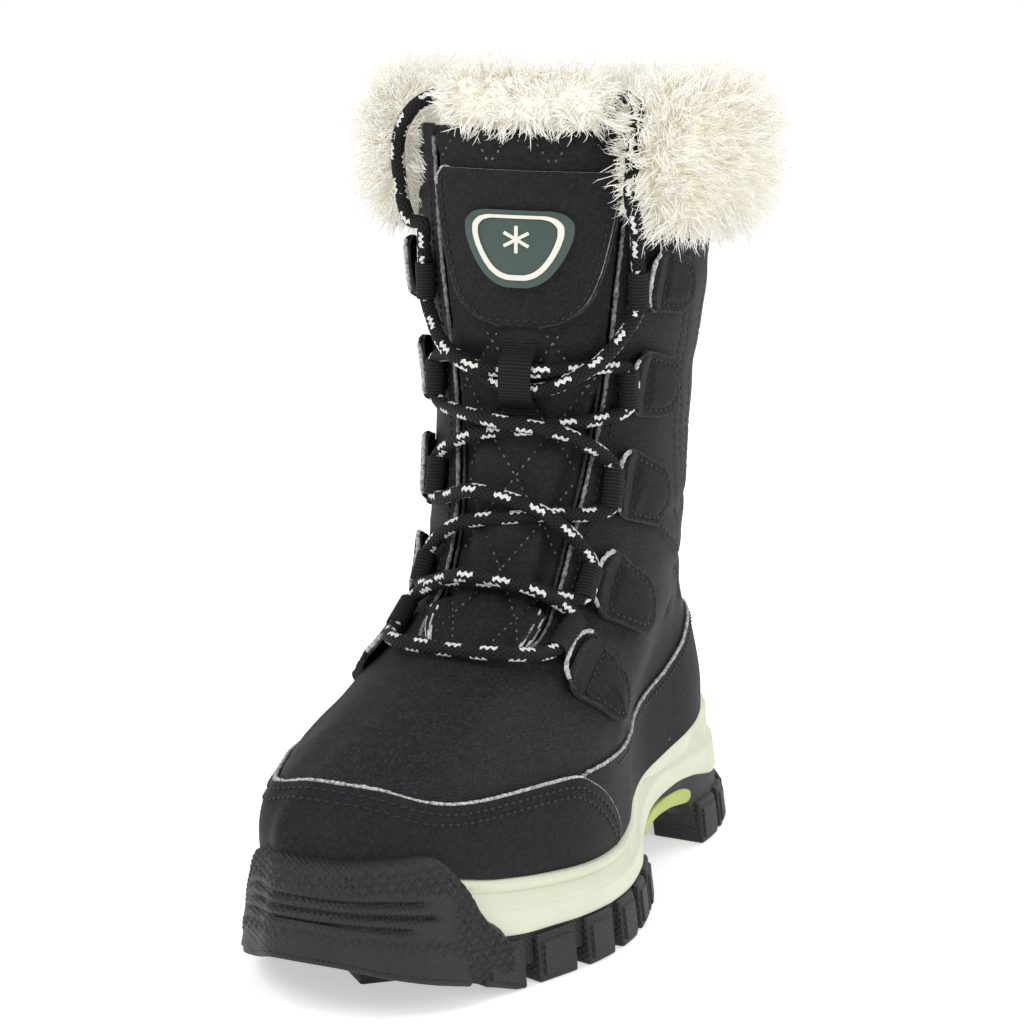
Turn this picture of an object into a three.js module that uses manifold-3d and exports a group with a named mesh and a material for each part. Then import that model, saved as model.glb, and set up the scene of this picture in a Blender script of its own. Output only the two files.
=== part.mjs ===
// Snow boot for the left foot, empty and standing on its sole, in millimetres.
// Toe towards -Y, heel towards +Y, outer (lateral) side of the foot towards +X, up +Z.
// The origin is on the ground under the middle of the boot.
import * as THREE from 'three';
import { mergeVertices } from 'three/addons/utils/BufferGeometryUtils.js';
import Module from 'manifold-3d';

const wasm = await Module();
wasm.setup();

// Driving dimensions
const soleLength = 284;
const ballWidth = 111;
const heelHeight = 46;
const shaftHeight = 250;
const wall = 2.6;
const gap = 0.3;
const overlayThickness = 1.4;
const insoleThickness = 3;
const tongueThickness = 5;
const laceRadius = 2.3;
const loopClearance = 0.6;
const webbing = 1;
const bumperProud = 3;
const lugProud = 2;
const lugDepth = 17;
const lugGap = 5;
const treadDepth = 6;
const badgeThickness = 1.8;
const furThickness = 25;
const furHeight = 50;
const lockLength = 6;

// The foot's centre line lies this far outside the shaft's, and the shaft is turned this much towards the outer side.
const footOffset = 3;
const shaftTurn = THREE.MathUtils.degToRad(8);

// Sole outline from above, toe first: along is the distance from the toe as a share of soleLength, inner and
// outer are the distances of the two sides from the foot's centre line as shares of ballWidth.
const soleRows = [
  { along: 0.000, inner: 0.020, outer: -0.020 },
  { along: 0.010, inner: 0.125, outer: 0.100 },
  { along: 0.035, inner: 0.185, outer: 0.170 },
  { along: 0.070, inner: 0.268, outer: 0.250 },
  { along: 0.130, inner: 0.342, outer: 0.318 },
  { along: 0.183, inner: 0.390, outer: 0.368 },
  { along: 0.243, inner: 0.440, outer: 0.425 },
  { along: 0.320, inner: 0.470, outer: 0.485 },
  { along: 0.400, inner: 0.445, outer: 0.500 },
  { along: 0.490, inner: 0.385, outer: 0.462 },
  { along: 0.570, inner: 0.325, outer: 0.395 },
  { along: 0.640, inner: 0.310, outer: 0.360 },
  { along: 0.720, inner: 0.318, outer: 0.362 },
  { along: 0.800, inner: 0.335, outer: 0.372 },
  { along: 0.860, inner: 0.320, outer: 0.358 },
  { along: 0.920, inner: 0.268, outer: 0.310 },
  { along: 0.965, inner: 0.185, outer: 0.230 },
  { along: 0.990, inner: 0.085, outer: 0.135 },
  { along: 1.000, inner: -0.022, outer: 0.022 },
];

// Upper's outer form by height: height as a share of shaftHeight, front and back as shares of half the sole's
// length, width as a share of ballWidth, and foot as the share of the sole's outline in the section, where the
// rest is an oval.
const upperRows = [
  { height: 0.080, front: -0.859, back: 0.855, width: 0.811, shift: 0.026, foot: 1.00 },
  { height: 0.128, front: -0.915, back: 0.885, width: 0.874, shift: 0.020, foot: 1.00 },
  { height: 0.176, front: -0.926, back: 0.896, width: 0.886, shift: 0.008, foot: 1.00 },
  { height: 0.212, front: -0.906, back: 0.899, width: 0.876, shift: 0.005, foot: 1.00 },
  { height: 0.240, front: -0.858, back: 0.899, width: 0.854, shift: 0.006, foot: 0.95 },
  { height: 0.264, front: -0.788, back: 0.897, width: 0.824, shift: 0.009, foot: 0.88 },
  { height: 0.288, front: -0.695, back: 0.893, width: 0.796, shift: 0.011, foot: 0.80 },
  { height: 0.312, front: -0.574, back: 0.887, width: 0.770, shift: 0.013, foot: 0.70 },
  { height: 0.340, front: -0.440, back: 0.878, width: 0.750, shift: 0.013, foot: 0.55 },
  { height: 0.368, front: -0.326, back: 0.867, width: 0.740, shift: 0.011, foot: 0.40 },
  { height: 0.400, front: -0.239, back: 0.854, width: 0.734, shift: 0.008, foot: 0.28 },
  { height: 0.448, front: -0.169, back: 0.831, width: 0.736, shift: 0.004, foot: 0.14 },
  { height: 0.528, front: -0.106, back: 0.800, width: 0.740, shift: 0.000, foot: 0.00 },
  { height: 0.660, front: -0.056, back: 0.765, width: 0.760, shift: 0.000, foot: 0.00 },
  { height: 0.820, front: -0.099, back: 0.745, width: 0.850, shift: 0.000, foot: 0.00 },
  { height: 1.000, front: -0.127, back: 0.738, width: 0.880, shift: 0.000, foot: 0.00 },
];

// Lines of the sole in side view: along is the distance from the toe as a share of soleLength, height is a share
// of heelHeight. The underside carries the toe spring, the flat ball, the arch and the heel.
const underside = [
  { along: -0.05, height: 0.450 },
  { along: 0.000, height: 0.390 },
  { along: 0.042, height: 0.283 },
  { along: 0.085, height: 0.196 },
  { along: 0.130, height: 0.120 },
  { along: 0.165, height: 0.060 },
  { along: 0.200, height: 0.000 },
  { along: 0.545, height: 0.000 },
  { along: 0.556, height: 0.090 },
  { along: 0.578, height: 0.205 },
  { along: 0.612, height: 0.310 },
  { along: 0.665, height: 0.365 },
  { along: 0.718, height: 0.350 },
  { along: 0.752, height: 0.250 },
  { along: 0.770, height: 0.100 },
  { along: 0.774, height: 0.000 },
  { along: 0.950, height: 0.000 },
  { along: 1.000, height: 0.120 },
  { along: 1.050, height: 0.250 },
];
const outsoleTop = [
  { along: -0.05, height: 0.590 },
  { along: 0.000, height: 0.565 },
  { along: 0.085, height: 0.460 },
  { along: 0.165, height: 0.375 },
  { along: 0.230, height: 0.330 },
  { along: 0.500, height: 0.325 },
  { along: 0.570, height: 0.390 },
  { along: 0.640, height: 0.480 },
  { along: 0.720, height: 0.535 },
  { along: 0.780, height: 0.520 },
  { along: 0.850, height: 0.440 },
  { along: 0.930, height: 0.405 },
  { along: 1.050, height: 0.400 },
];
const midsoleTop = [
  { along: -0.05, height: 0.870 },
  { along: 0.105, height: 0.850 },
  { along: 0.148, height: 0.775 },
  { along: 0.200, height: 0.705 },
  { along: 0.290, height: 0.640 },
  { along: 0.380, height: 0.612 },
  { along: 0.470, height: 0.630 },
  { along: 0.570, height: 0.710 },
  { along: 0.680, height: 0.800 },
  { along: 0.780, height: 0.885 },
  { along: 0.890, height: 0.960 },
  { along: 1.050, height: 1.000 },
];
const footbed = [
  { along: -0.05, height: 0.660 },
  { along: 0.000, height: 0.650 },
  { along: 0.080, height: 0.590 },
  { along: 0.180, height: 0.480 },
  { along: 0.290, height: 0.440 },
  { along: 0.430, height: 0.440 },
  { along: 0.570, height: 0.500 },
  { along: 0.710, height: 0.590 },
  { along: 0.820, height: 0.650 },
  { along: 1.050, height: 0.675 },
];

// Toe bumper in side view, from the front of its top edge down to the sole.
const bumperRows = [
  { along: -0.05, height: 1.010 },
  { along: 0.080, height: 1.005 },
  { along: 0.108, height: 0.960 },
  { along: 0.132, height: 0.800 },
  { along: 0.158, height: 0.540 },
  { along: 0.185, height: 0.370 },
  { along: 0.200, height: 0.000 },
];
const bumperGrooves = [0.52, 0.68];
const grooveHeight = 1.6;
const grooveDepth = 1.2;

// Gaps between the lugs along each side, as shares of soleLength from the toe.
const lugGaps = [0.130, 0.205, 0.280, 0.350, 0.415, 0.475, 0.835, 0.900];
const lugTop = 0.31;
const centreLugs = [
  { along: 0.17, side: 0.00 },
  { along: 0.25, side: -0.13 },
  { along: 0.25, side: 0.13 },
  { along: 0.33, side: 0.00 },
  { along: 0.40, side: -0.14 },
  { along: 0.40, side: 0.15 },
  { along: 0.475, side: 0.02 },
  { along: 0.83, side: 0.02 },
  { along: 0.90, side: 0.02 },
];

// Arch insert in side view, shares of soleLength and heelHeight.
const archInsert = [
  { along: 0.572, height: 0.300 },
  { along: 0.600, height: 0.400 },
  { along: 0.640, height: 0.445 },
  { along: 0.700, height: 0.475 },
  { along: 0.745, height: 0.455 },
  { along: 0.766, height: 0.380 },
  { along: 0.768, height: 0.280 },
  { along: 0.752, height: 0.200 },
  { along: 0.665, height: 0.200 },
  { along: 0.590, height: 0.150 },
];

// Toe cap and side rands in side view: along is a share of soleLength, height a share of shaftHeight.
const capEdge = [
  { along: -0.06, height: 0.262 },
  { along: 0.080, height: 0.258 },
  { along: 0.120, height: 0.237 },
  { along: 0.172, height: 0.227 },
  { along: 0.285, height: 0.225 },
  { along: 0.330, height: 0.222 },
  { along: 0.356, height: 0.208 },
  { along: 0.386, height: 0.186 },
  { along: 0.424, height: 0.142 },
  { along: 0.462, height: 0.060 },
];
const randRows = [
  { along: 0.30, lateral: 0.222, medial: 0.222 },
  { along: 0.39, lateral: 0.225, medial: 0.228 },
  { along: 0.50, lateral: 0.229, medial: 0.240 },
  { along: 0.60, lateral: 0.238, medial: 0.258 },
  { along: 0.70, lateral: 0.256, medial: 0.283 },
  { along: 0.78, lateral: 0.280, medial: 0.303 },
  { along: 0.86, lateral: 0.310, medial: 0.320 },
  { along: 1.05, lateral: 0.332, medial: 0.332 },
];
const backStayWidth = 16;

// Throat of the upper seen from the front: half width as a share of ballWidth at a share of shaftHeight.
const throatRows = [
  { height: 0.336, side: 0.100 },
  { height: 0.342, side: 0.155 },
  { height: 0.356, side: 0.180 },
  { height: 0.420, side: 0.178 },
  { height: 0.500, side: 0.183 },
  { height: 0.580, side: 0.203 },
  { height: 0.680, side: 0.230 },
  { height: 0.832, side: 0.266 },
  { height: 1.060, side: 0.312 },
];
const tongueTop = 0.996;
const tongueOverlap = 7;
const throatMargin = 1.5;

const patchRows = [
  { height: 0.752, side: 0.055 },
  { height: 0.762, side: 0.126 },
  { height: 0.780, side: 0.180 },
  { height: 0.812, side: 0.216 },
  { height: 0.860, side: 0.243 },
  { height: 0.912, side: 0.262 },
  { height: 0.936, side: 0.266 },
  { height: 0.948, side: 0.245 },
];
const badgeRows = [
  { height: 0.802, side: 0.035 },
  { height: 0.809, side: 0.076 },
  { height: 0.830, side: 0.119 },
  { height: 0.860, side: 0.153 },
  { height: 0.880, side: 0.161 },
  { height: 0.893, side: 0.148 },
  { height: 0.899, side: 0.110 },
];

// Lacing, lowest tab first: the lace runs from low to high through a loop at a half width of side, and the tab
// behind it is a D whose straight edge runs from low to high and whose round end is centred at along, end.
// Heights are shares of shaftHeight, side of ballWidth, along of soleLength.
const lacingRows = [
  { low: 0.350, high: 0.392, side: 0.232, front: 0.400, rise: 0.056, along: 0.442, end: 0.302, round: 0.082 },
  { low: 0.400, high: 0.458, side: 0.226, front: 0.487, rise: 0.046, along: 0.545, end: 0.394, round: 0.088 },
  { low: 0.508, high: 0.582, side: 0.240, front: 0.540, rise: 0.026, along: 0.598, end: 0.526, round: 0.088 },
  { low: 0.636, high: 0.712, side: 0.264, front: 0.570, rise: 0.004, along: 0.612, end: 0.668, round: 0.088 },
  { low: 0.768, high: 0.838, side: 0.291, front: 0.566, rise: 0.006, along: 0.606, end: 0.804, round: 0.080 },
];
const tabThickness = 2.2;

const half = soleLength / 2;
const upright = new THREE.Vector3(0, 0, 1);
const shaftPivot = 0.33 * half;
const upperHeights = [0.08, 0.14, 0.2, 0.246, 0.286, 0.33, 0.38, 0.448, 0.56, 0.66, 0.78, 1]
  .map((share) => share * shaftHeight);
const ringPoints = 26;
const solePoints = 38;
const hiddenPoints = 20;
const frontCrowding = 0.3;
const finePoints = 160;
const ovalDepth = 1.35;
const soleLean = 0.15;

// Smooth interpolation of one column of a table of rows, by another column.
function column(rows, by, name, at) {
  const clamped = THREE.MathUtils.clamp(at, rows[0][by], rows[rows.length - 1][by]);
  let i = 0;
  while (i < rows.length - 2 && rows[i + 1][by] < clamped) i += 1;
  const a = rows[i];
  const b = rows[i + 1];
  const before = rows[Math.max(i - 1, 0)];
  const after = rows[Math.min(i + 2, rows.length - 1)];
  const span = b[by] - a[by];
  const t = (clamped - a[by]) / span;
  const slopeA = ((b[name] - before[name]) / (b[by] - before[by])) * span;
  const slopeB = ((after[name] - a[name]) / (after[by] - a[by])) * span;
  const t2 = t * t;
  const t3 = t2 * t;
  return (2 * t3 - 3 * t2 + 1) * a[name] + (t3 - 2 * t2 + t) * slopeA
    + (3 * t2 - 2 * t3) * b[name] + (t3 - t2) * slopeB;
}

// Closed curves sampled evenly along their length, starting at the toe and going round by the outer side.
function evenLoop(points, count) {
  const curve = new THREE.CatmullRomCurve3(points, true, 'centripetal');
  curve.arcLengthDivisions = 800;
  return Array.from({ length: count }, (_, i) => curve.getPointAt(i / count));
}

function soleOutlinePoints() {
  const outer = soleRows.map((r) => new THREE.Vector3(r.outer * ballWidth, (r.along * 2 - 1) * half, 0));
  const inner = soleRows.slice(1, -1).reverse()
    .map((r) => new THREE.Vector3(-r.inner * ballWidth, (r.along * 2 - 1) * half, 0));
  return [...outer, ...inner];
}
const footLoop = evenLoop(soleOutlinePoints(), finePoints);
const ovalLoop = evenLoop(
  Array.from({ length: 24 }, (_, i) => {
    const angle = (i / 24) * 2 * Math.PI;
    return new THREE.Vector3(Math.sin(angle), -Math.cos(angle) * ovalDepth, 0);
  }),
  finePoints,
);

// A point part way round one of the fine loops: turn is the share of the way round from the toe.
function loopPoint(loop, turn) {
  const at = (((turn % 1) + 1) % 1) * finePoints;
  const i = Math.floor(at) % finePoints;
  return loop[i].clone().lerp(loop[(i + 1) % finePoints], at - Math.floor(at));
}

// One point of the upper's outer form at a height in millimetres.
function upperPoint(turn, height) {
  const share = height / shaftHeight;
  const front = column(upperRows, 'height', 'front', share) * half;
  const back = column(upperRows, 'height', 'back', share) * half;
  const width = column(upperRows, 'height', 'width', share) * ballWidth;
  const shift = column(upperRows, 'height', 'shift', share) * ballWidth;
  const foot = column(upperRows, 'height', 'foot', share);
  const sole = loopPoint(footLoop, turn);
  const oval = loopPoint(ovalLoop, turn);
  const middle = (front + back) / 2;
  const turned = new THREE.Vector3(oval.x * (width / 2), (oval.y / ovalDepth) * (back - middle) + middle - shaftPivot, 0)
    .applyAxisAngle(upright, shaftTurn);
  const x = THREE.MathUtils.lerp(turned.x, (sole.x / (ballWidth / 2)) * (width / 2), foot) + shift;
  const y = THREE.MathUtils.lerp(turned.y + shaftPivot, (sole.y / half) * (back - middle) + middle, foot);
  return new THREE.Vector3(x, y, height);
}

// The same point moved out along the form's own normal by grow.
function grownPoint(turn, height, grow) {
  const dt = 0.004;
  const dh = 0.8;
  const along = upperPoint(turn + dt, height).sub(upperPoint(turn - dt, height));
  const up = upperPoint(turn, height + dh).sub(upperPoint(turn, height - dh));
  const normal = along.cross(up).normalize();
  return upperPoint(turn, height).addScaledVector(normal, grow);
}

// Share of the way round for ring index i, with the points closer together at the toe.
function turnOf(i, count) {
  const even = i / count;
  return even - (frontCrowding * Math.sin(2 * Math.PI * even)) / (2 * Math.PI);
}

// A closed solid from a stack of rings, each with the same number of points; both ends are closed by a ladder
// of faces across the ring.
function stack(rings) {
  const count = rings[0].length;
  const position = rings.flat().flatMap((p) => [p.x, p.y, p.z]);
  const index = [];
  for (let r = 0; r < rings.length - 1; r += 1) {
    for (let i = 0; i < count; i += 1) {
      const j = (i + 1) % count;
      const a = r * count + i;
      const b = r * count + j;
      index.push(a, b, b + count, a, b + count, a + count);
    }
  }
  const last = (rings.length - 1) * count;
  for (let i = 0; i < count / 2; i += 1) {
    const a = (count - i) % count;
    const b = count - i - 1;
    const j = i + 1;
    if (i > 0) index.push(i, a, b, last + i, last + b, last + a);
    if (j < b) index.push(i, b, j, last + i, last + j, last + b);
  }
  return solidFrom(position, index);
}

function solidFrom(position, index) {
  return new wasm.Manifold(new wasm.Mesh({
    numProp: 3,
    vertProperties: new Float32Array(position),
    triVerts: new Uint32Array(index),
  }));
}

// A three.js geometry as a solid, and a solid as a three.js geometry.
function solidOf(geometry) {
  const bare = new THREE.BufferGeometry();
  bare.setAttribute('position', geometry.getAttribute('position'));
  bare.setIndex(geometry.getIndex());
  const merged = mergeVertices(bare, 1e-4);
  return solidFrom(merged.getAttribute('position').array, merged.getIndex().array);
}

function geometryOf(solid) {
  const mesh = solid.getMesh();
  const geometry = new THREE.BufferGeometry();
  geometry.setAttribute('position', new THREE.BufferAttribute(new Float32Array(mesh.vertProperties), 3));
  geometry.setIndex(new THREE.BufferAttribute(new Uint32Array(mesh.triVerts), 1));
  return geometry;
}

// The upper's form between two heights, grown by grow.
function upperForm(from, to, grow) {
  const heights = [from, ...upperHeights.filter((h) => h > from + 1 && h < to - 1), to];
  return stack(heights.map((height) => Array.from(
    { length: ringPoints },
    (_, i) => grownPoint(turnOf(i, ringPoints), height, grow),
  )));
}

// The sole's form between heights, grown by grow; its side leans in as it rises.
function soleForm(grow, count = solePoints) {
  const dt = 0.004;
  const ring = (height) => Array.from({ length: count }, (_, i) => {
    const turn = turnOf(i, count);
    const along = loopPoint(footLoop, turn + dt).sub(loopPoint(footLoop, turn - dt));
    const out = new THREE.Vector3(along.y, -along.x, 0).normalize();
    const p = loopPoint(footLoop, turn).addScaledVector(out, grow - soleLean * height);
    return new THREE.Vector3(p.x + footOffset, p.y, height);
  });
  return stack([ring(-gap), ring(heelHeight * 1.2)]);
}

// Prisms through the boot: one across it from a side view outline, one along it from a front view outline in
// the turned shaft's own axes.
function sidePrism(points, from, to) {
  const shape = new THREE.Shape(points.map(([y, z]) => new THREE.Vector2(y, z)));
  const geometry = new THREE.ExtrudeGeometry(shape, { depth: to - from, bevelEnabled: false });
  geometry.applyMatrix4(new THREE.Matrix4().makeBasis(
    new THREE.Vector3(0, 1, 0),
    new THREE.Vector3(0, 0, 1),
    new THREE.Vector3(1, 0, 0),
  ));
  geometry.translate(from, 0, 0);
  return solidOf(geometry);
}
const across = new THREE.Vector3(1, 0, 0).applyAxisAngle(upright, shaftTurn);
const forward = new THREE.Vector3(0, -1, 0).applyAxisAngle(upright, shaftTurn);
function frontPrism(points, from, to) {
  const shape = new THREE.Shape(points.map(([u, z]) => new THREE.Vector2(u, z)));
  const geometry = new THREE.ExtrudeGeometry(shape, { depth: to - from, bevelEnabled: false });
  geometry.applyMatrix4(new THREE.Matrix4().makeBasis(across, upright, forward));
  geometry.translate(forward.x * from, forward.y * from + shaftPivot, 0);
  return solidOf(geometry);
}

// Side view lines as points, and the slab of the boot between two of them.
const lineOf = (rows, lift) => rows.map((row) => [(row.along * 2 - 1) * half, row.height * heelHeight + lift]);
function slab(low, high) {
  return sidePrism([...low, ...high.slice().reverse()], -ballWidth, ballWidth);
}
const level = (height) => [[-soleLength, height], [soleLength, height]];
const above = (line) => slab(line, level(shaftHeight * 1.3));
const below = (line) => slab(level(-heelHeight), line);
const overBed = above(lineOf(footbed, gap));

// Sole unit: outsole with its toe bumper, lugs and tread, midsole cup, arch insert and insole.
const bumperOutline = (grow) => [
  [-soleLength, -heelHeight],
  ...bumperRows.map((row) => [(row.along * 2 - 1) * half + grow, row.height * heelHeight + grow]),
  [(bumperRows.at(-1).along * 2 - 1) * half + grow, -heelHeight],
];
const upperFoot = (grow) => upperForm(upperHeights[0] - 1, heelHeight * 1.6, grow).intersect(overBed);
const capRoom = overlayThickness + 2 * gap;
const bumperWall = 4;
function bumperZone(grow) {
  return soleForm(bumperProud + grow).subtract(soleForm(-bumperWall - grow, hiddenPoints))
    .intersect(sidePrism(bumperOutline(grow), -ballWidth, ballWidth));
}

function makeOutsole() {
  const plate = soleForm(0).intersect(above(lineOf(underside, treadDepth))).intersect(below(lineOf(outsoleTop, 0)));
  let bumper = bumperZone(0).subtract(upperForm(upperHeights[0] - 1, heelHeight * 1.6, capRoom));
  for (const share of bumperGrooves) {
    const low = share * heelHeight;
    const groove = sidePrism([[-soleLength, low], [-half * 0.7, low], [-half * 0.7, low + grooveHeight],
      [-soleLength, low + grooveHeight]], -ballWidth, ballWidth);
    bumper = bumper.subtract(groove.subtract(soleForm(bumperProud - grooveDepth)));
  }
  const lugBand = soleForm(lugProud).subtract(soleForm(-lugDepth, hiddenPoints));
  const inner = soleForm(-lugDepth - lugGap, hiddenPoints);
  let lugs = lugBand;
  for (const share of lugGaps) {
    const y = (share * 2 - 1) * half;
    lugs = lugs.subtract(sidePrism([[y, -1], [y + lugGap, -1], [y + lugGap, heelHeight], [y, heelHeight]],
      -ballWidth, ballWidth));
  }
  for (const lug of centreLugs) {
    const centreY = (lug.along * 2 - 1) * half;
    const centreX = lug.side * ballWidth + footOffset;
    const diamond = new THREE.CylinderGeometry(11, 12, heelHeight / 2, 4, 1);
    diamond.rotateX(Math.PI / 2);
    diamond.translate(centreX, centreY, 0);
    lugs = lugs.add(solidOf(diamond).intersect(inner));
  }
  const tipped = above(lineOf(underside, 0));
  const whole = plate.add(bumper.intersect(tipped)).add(lugs.intersect(tipped).intersect(below(level(lugTop * heelHeight))));
  return whole.subtract(archZone(gap));
}

function archZone(grow) {
  const outline = archInsert.map((row) => [(row.along * 2 - 1) * half, row.height * heelHeight]);
  return sidePrism(outline, -ballWidth, ballWidth).intersect(soleForm(-1 + grow));
}

function makeMidsole() {
  const foot = upperFoot(gap);
  const lower = lineOf(outsoleTop, gap);
  const stepTop = midsoleTop.map((row, i) => [(row.along * 2 - 1) * half, (row.height * 0.5 + 0.22) * heelHeight]);
  const body = soleForm(0.4).intersect(slab(lower, stepTop))
    .add(soleForm(-0.8).intersect(slab(lower, lineOf(midsoleTop, 0))));
  return body.subtract(foot).subtract(bumperZone(gap).add(sidePrism(bumperOutline(gap), -ballWidth, ballWidth)
    .subtract(soleForm(-bumperWall - gap, hiddenPoints))));
}

function makeArchInsert() {
  return archZone(0).subtract(below(lineOf(underside, treadDepth * 0.1)));
}

function makeInsole() {
  const board = slab(lineOf(footbed, 2 * gap), lineOf(footbed, 2 * gap + insoleThickness));
  return upperForm(upperHeights[0] - 1, heelHeight * 1.6, -wall - 2 * gap).intersect(board);
}

// Upper: one hollow wall, open underneath, at the throat and at the collar.
const ridge = (height) => upperPoint(0, height).setY(upperPoint(0, height).y - shaftPivot).dot(across);
const backRidge = (height) => upperPoint(0.5, height).setY(upperPoint(0.5, height).y - shaftPivot).dot(across);
function frontOutline(rows, grow) {
  const side = (sign) => rows.map((row) => {
    const height = row.height * shaftHeight;
    return [ridge(height) + sign * (row.side * ballWidth + grow), height];
  });
  return [...side(1), ...side(-1).reverse()];
}
const throatOutline = (grow) => frontOutline(
  throatRows.map((row, i) => (i < 2 ? { ...row, height: row.height - grow / shaftHeight } : row)),
  grow,
);
const farForward = half * 1.2;
const farBack = -half * 1.2;
const throatBack = half * 0.2;

function makeUpper() {
  return upperForm(upperHeights[0], shaftHeight, 0)
    .subtract(upperForm(upperHeights[0] - 1, shaftHeight + 1, -wall))
    .intersect(overBed)
    .subtract(frontPrism(throatOutline(0), throatBack, farForward));
}

// A layer of the given thickness on the upper's outside.
const overlayCache = new Map();
function layer(from, to) {
  const key = `${from} ${to}`;
  if (!overlayCache.has(key)) {
    overlayCache.set(key, upperForm(upperHeights[0], shaftHeight, to)
      .subtract(upperForm(upperHeights[0] - 1, shaftHeight + 1, from)));
  }
  return overlayCache.get(key);
}
const overMidsole = above(lineOf(midsoleTop, gap));
const overlay = layer(gap, gap + overlayThickness).intersect(overMidsole);
const capOutline = (grow) => [
  [-soleLength, 0],
  ...capEdge.map((row) => [(row.along * 2 - 1) * half + grow, row.height * shaftHeight + grow]),
  [(capEdge.at(-1).along * 2 - 1) * half + grow, 0],
];
function stayPrism(grow) {
  const sides = (sign) => upperHeights.map((height) => [backRidge(height) + sign * (backStayWidth / 2 + grow), height]);
  return frontPrism([...sides(1), ...sides(-1).reverse()], farBack, 0);
}
function makeRand(name, sign) {
  const top = randRows.map((row) => [(row.along * 2 - 1) * half, row[name] * shaftHeight]);
  const side = sign > 0 ? [0, ballWidth] : [-ballWidth, 0];
  return overlay.intersect(sidePrism([[top[0][0], 0], [top.at(-1)[0], 0], ...top.slice().reverse()], ...side))
    .subtract(sidePrism(capOutline(gap), -ballWidth, ballWidth))
    .subtract(stayPrism(gap));
}

// Tongue: a sheet inside the throat with a padded face that fills it.
function makeTongue() {
  const low = (throatRows[0].height - 0.06) * shaftHeight;
  const top = tongueTop * shaftHeight;
  const inset = wall + gap;
  const sheet = upperForm(low, top, -inset).subtract(upperForm(low - 1, top + 1, -inset - tongueThickness))
    .intersect(frontPrism(throatOutline(tongueOverlap), throatBack, farForward));
  const pad = upperForm(low, top, -gap).subtract(upperForm(low - 1, top + 1, -inset - 1))
    .intersect(frontPrism(throatOutline(-throatMargin), throatBack, farForward));
  return sheet.add(pad);
}

// A point on the upper's front at a height: side is measured along the shaft's own width from its ridge, and out
// is the distance from the upper's surface.
function onFront(side, height, out) {
  const wanted = ridge(height) + side;
  let low = -0.27;
  let high = 0.27;
  for (let i = 0; i < 30; i += 1) {
    const middle = (low + high) / 2;
    const p = upperPoint(middle, height);
    if (p.setY(p.y - shaftPivot).dot(across) < wanted) low = middle;
    else high = middle;
  }
  return grownPoint(low, height, out);
}

// Round tube along a smooth curve through points.
function polygon(radius, sides) {
  return new THREE.Shape(Array.from({ length: sides }, (_, i) => new THREE.Vector2(
    radius * Math.cos((2 * Math.PI * i) / sides),
    radius * Math.sin((2 * Math.PI * i) / sides),
  )));
}
function tube(points, radius, sides, step) {
  const curve = new THREE.CatmullRomCurve3(points, false, 'centripetal');
  const steps = Math.max(1, Math.round(curve.getLength() / step));
  return solidOf(new THREE.ExtrudeGeometry(polygon(radius, sides), { extrudePath: curve, steps, bevelEnabled: false }));
}
const cordSides = 8;
const strandSides = 6;

// Lacing: a webbing loop for each tab, the D tab behind it, and the lace through all loops.
const loopInside = laceRadius + loopClearance;
const loopOutside = loopInside + webbing;
const laceOut = gap * 4 + loopOutside;
const strandRise = 5;
function loopEnds(row, sign) {
  return [row.low, row.high].map((share) => onFront(sign * row.side * ballWidth, share * shaftHeight, laceOut));
}
function loopSolid(row, sign, grow) {
  const section = polygon(loopOutside + grow, cordSides);
  section.holes.push(polygon(loopInside - grow, cordSides));
  const [low, high] = loopEnds(row, sign);
  const along = high.clone().sub(low).multiplyScalar(grow / high.distanceTo(low));
  const path = new THREE.LineCurve3(low.sub(along), high.add(along));
  return solidOf(new THREE.ExtrudeGeometry(section, { extrudePath: path, steps: 1, bevelEnabled: false }));
}
const makeLoop = (row, sign) => loopSolid(row, sign, 0);
const loopRoom = (row, sign) => loopSolid(row, sign, gap / 3);
function makeTab(row, sign) {
  const y = (share) => (share * 2 - 1) * half;
  const round = row.round * ballWidth;
  const centre = [y(row.along), row.end * shaftHeight];
  const front = [[y(row.front + row.rise), row.high * shaftHeight], [y(row.front - row.rise), row.low * shaftHeight]];
  const arc = Array.from({ length: 9 }, (_, i) => {
    const lean = Math.atan2(centre[1] - (front[0][1] + front[1][1]) / 2, centre[0] - (front[0][0] + front[1][0]) / 2);
    const angle = lean - Math.PI * 0.5 + (i / 8) * Math.PI;
    return [centre[0] + round * Math.cos(angle), centre[1] + round * Math.sin(angle)];
  });
  const side = sign > 0 ? [0, ballWidth] : [-ballWidth, 0];
  const [low, high] = loopEnds(row, sign);
  const lead = high.clone().sub(low).setLength(strandRise);
  const room = tube([low.sub(lead), high.add(lead)], loopOutside + gap, cordSides, soleLength);
  const tab = layer(gap, gap + tabThickness).intersect(sidePrism([front[0], front[1], ...arc], ...side)).subtract(room);
  return strandRows.flatMap((strand) => [[strand.from, strand.by[0]], [strand.to, strand.by.at(-1)]])
    .filter(([end]) => lacingRows[end[0]] === row && end[2] === sign)
    .map(([end, next]) => tube([strandEnd(end, strandRise), placed(next)], laceRadius + 3 * gap, cordSides, soleLength))
    .reduce((all, strand) => all.subtract(strand), tab);
}

// Patch and badge on the tongue's face, and the webbing keeper that holds two strands of the lace.
function makeFrontPlate(rows, from, to) {
  return layer(from, to).intersect(frontPrism(frontOutline(rows, 0), throatBack, farForward));
}
const patchOut = gap / 2;
const badgeOut = patchOut + overlayThickness + gap;

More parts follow.
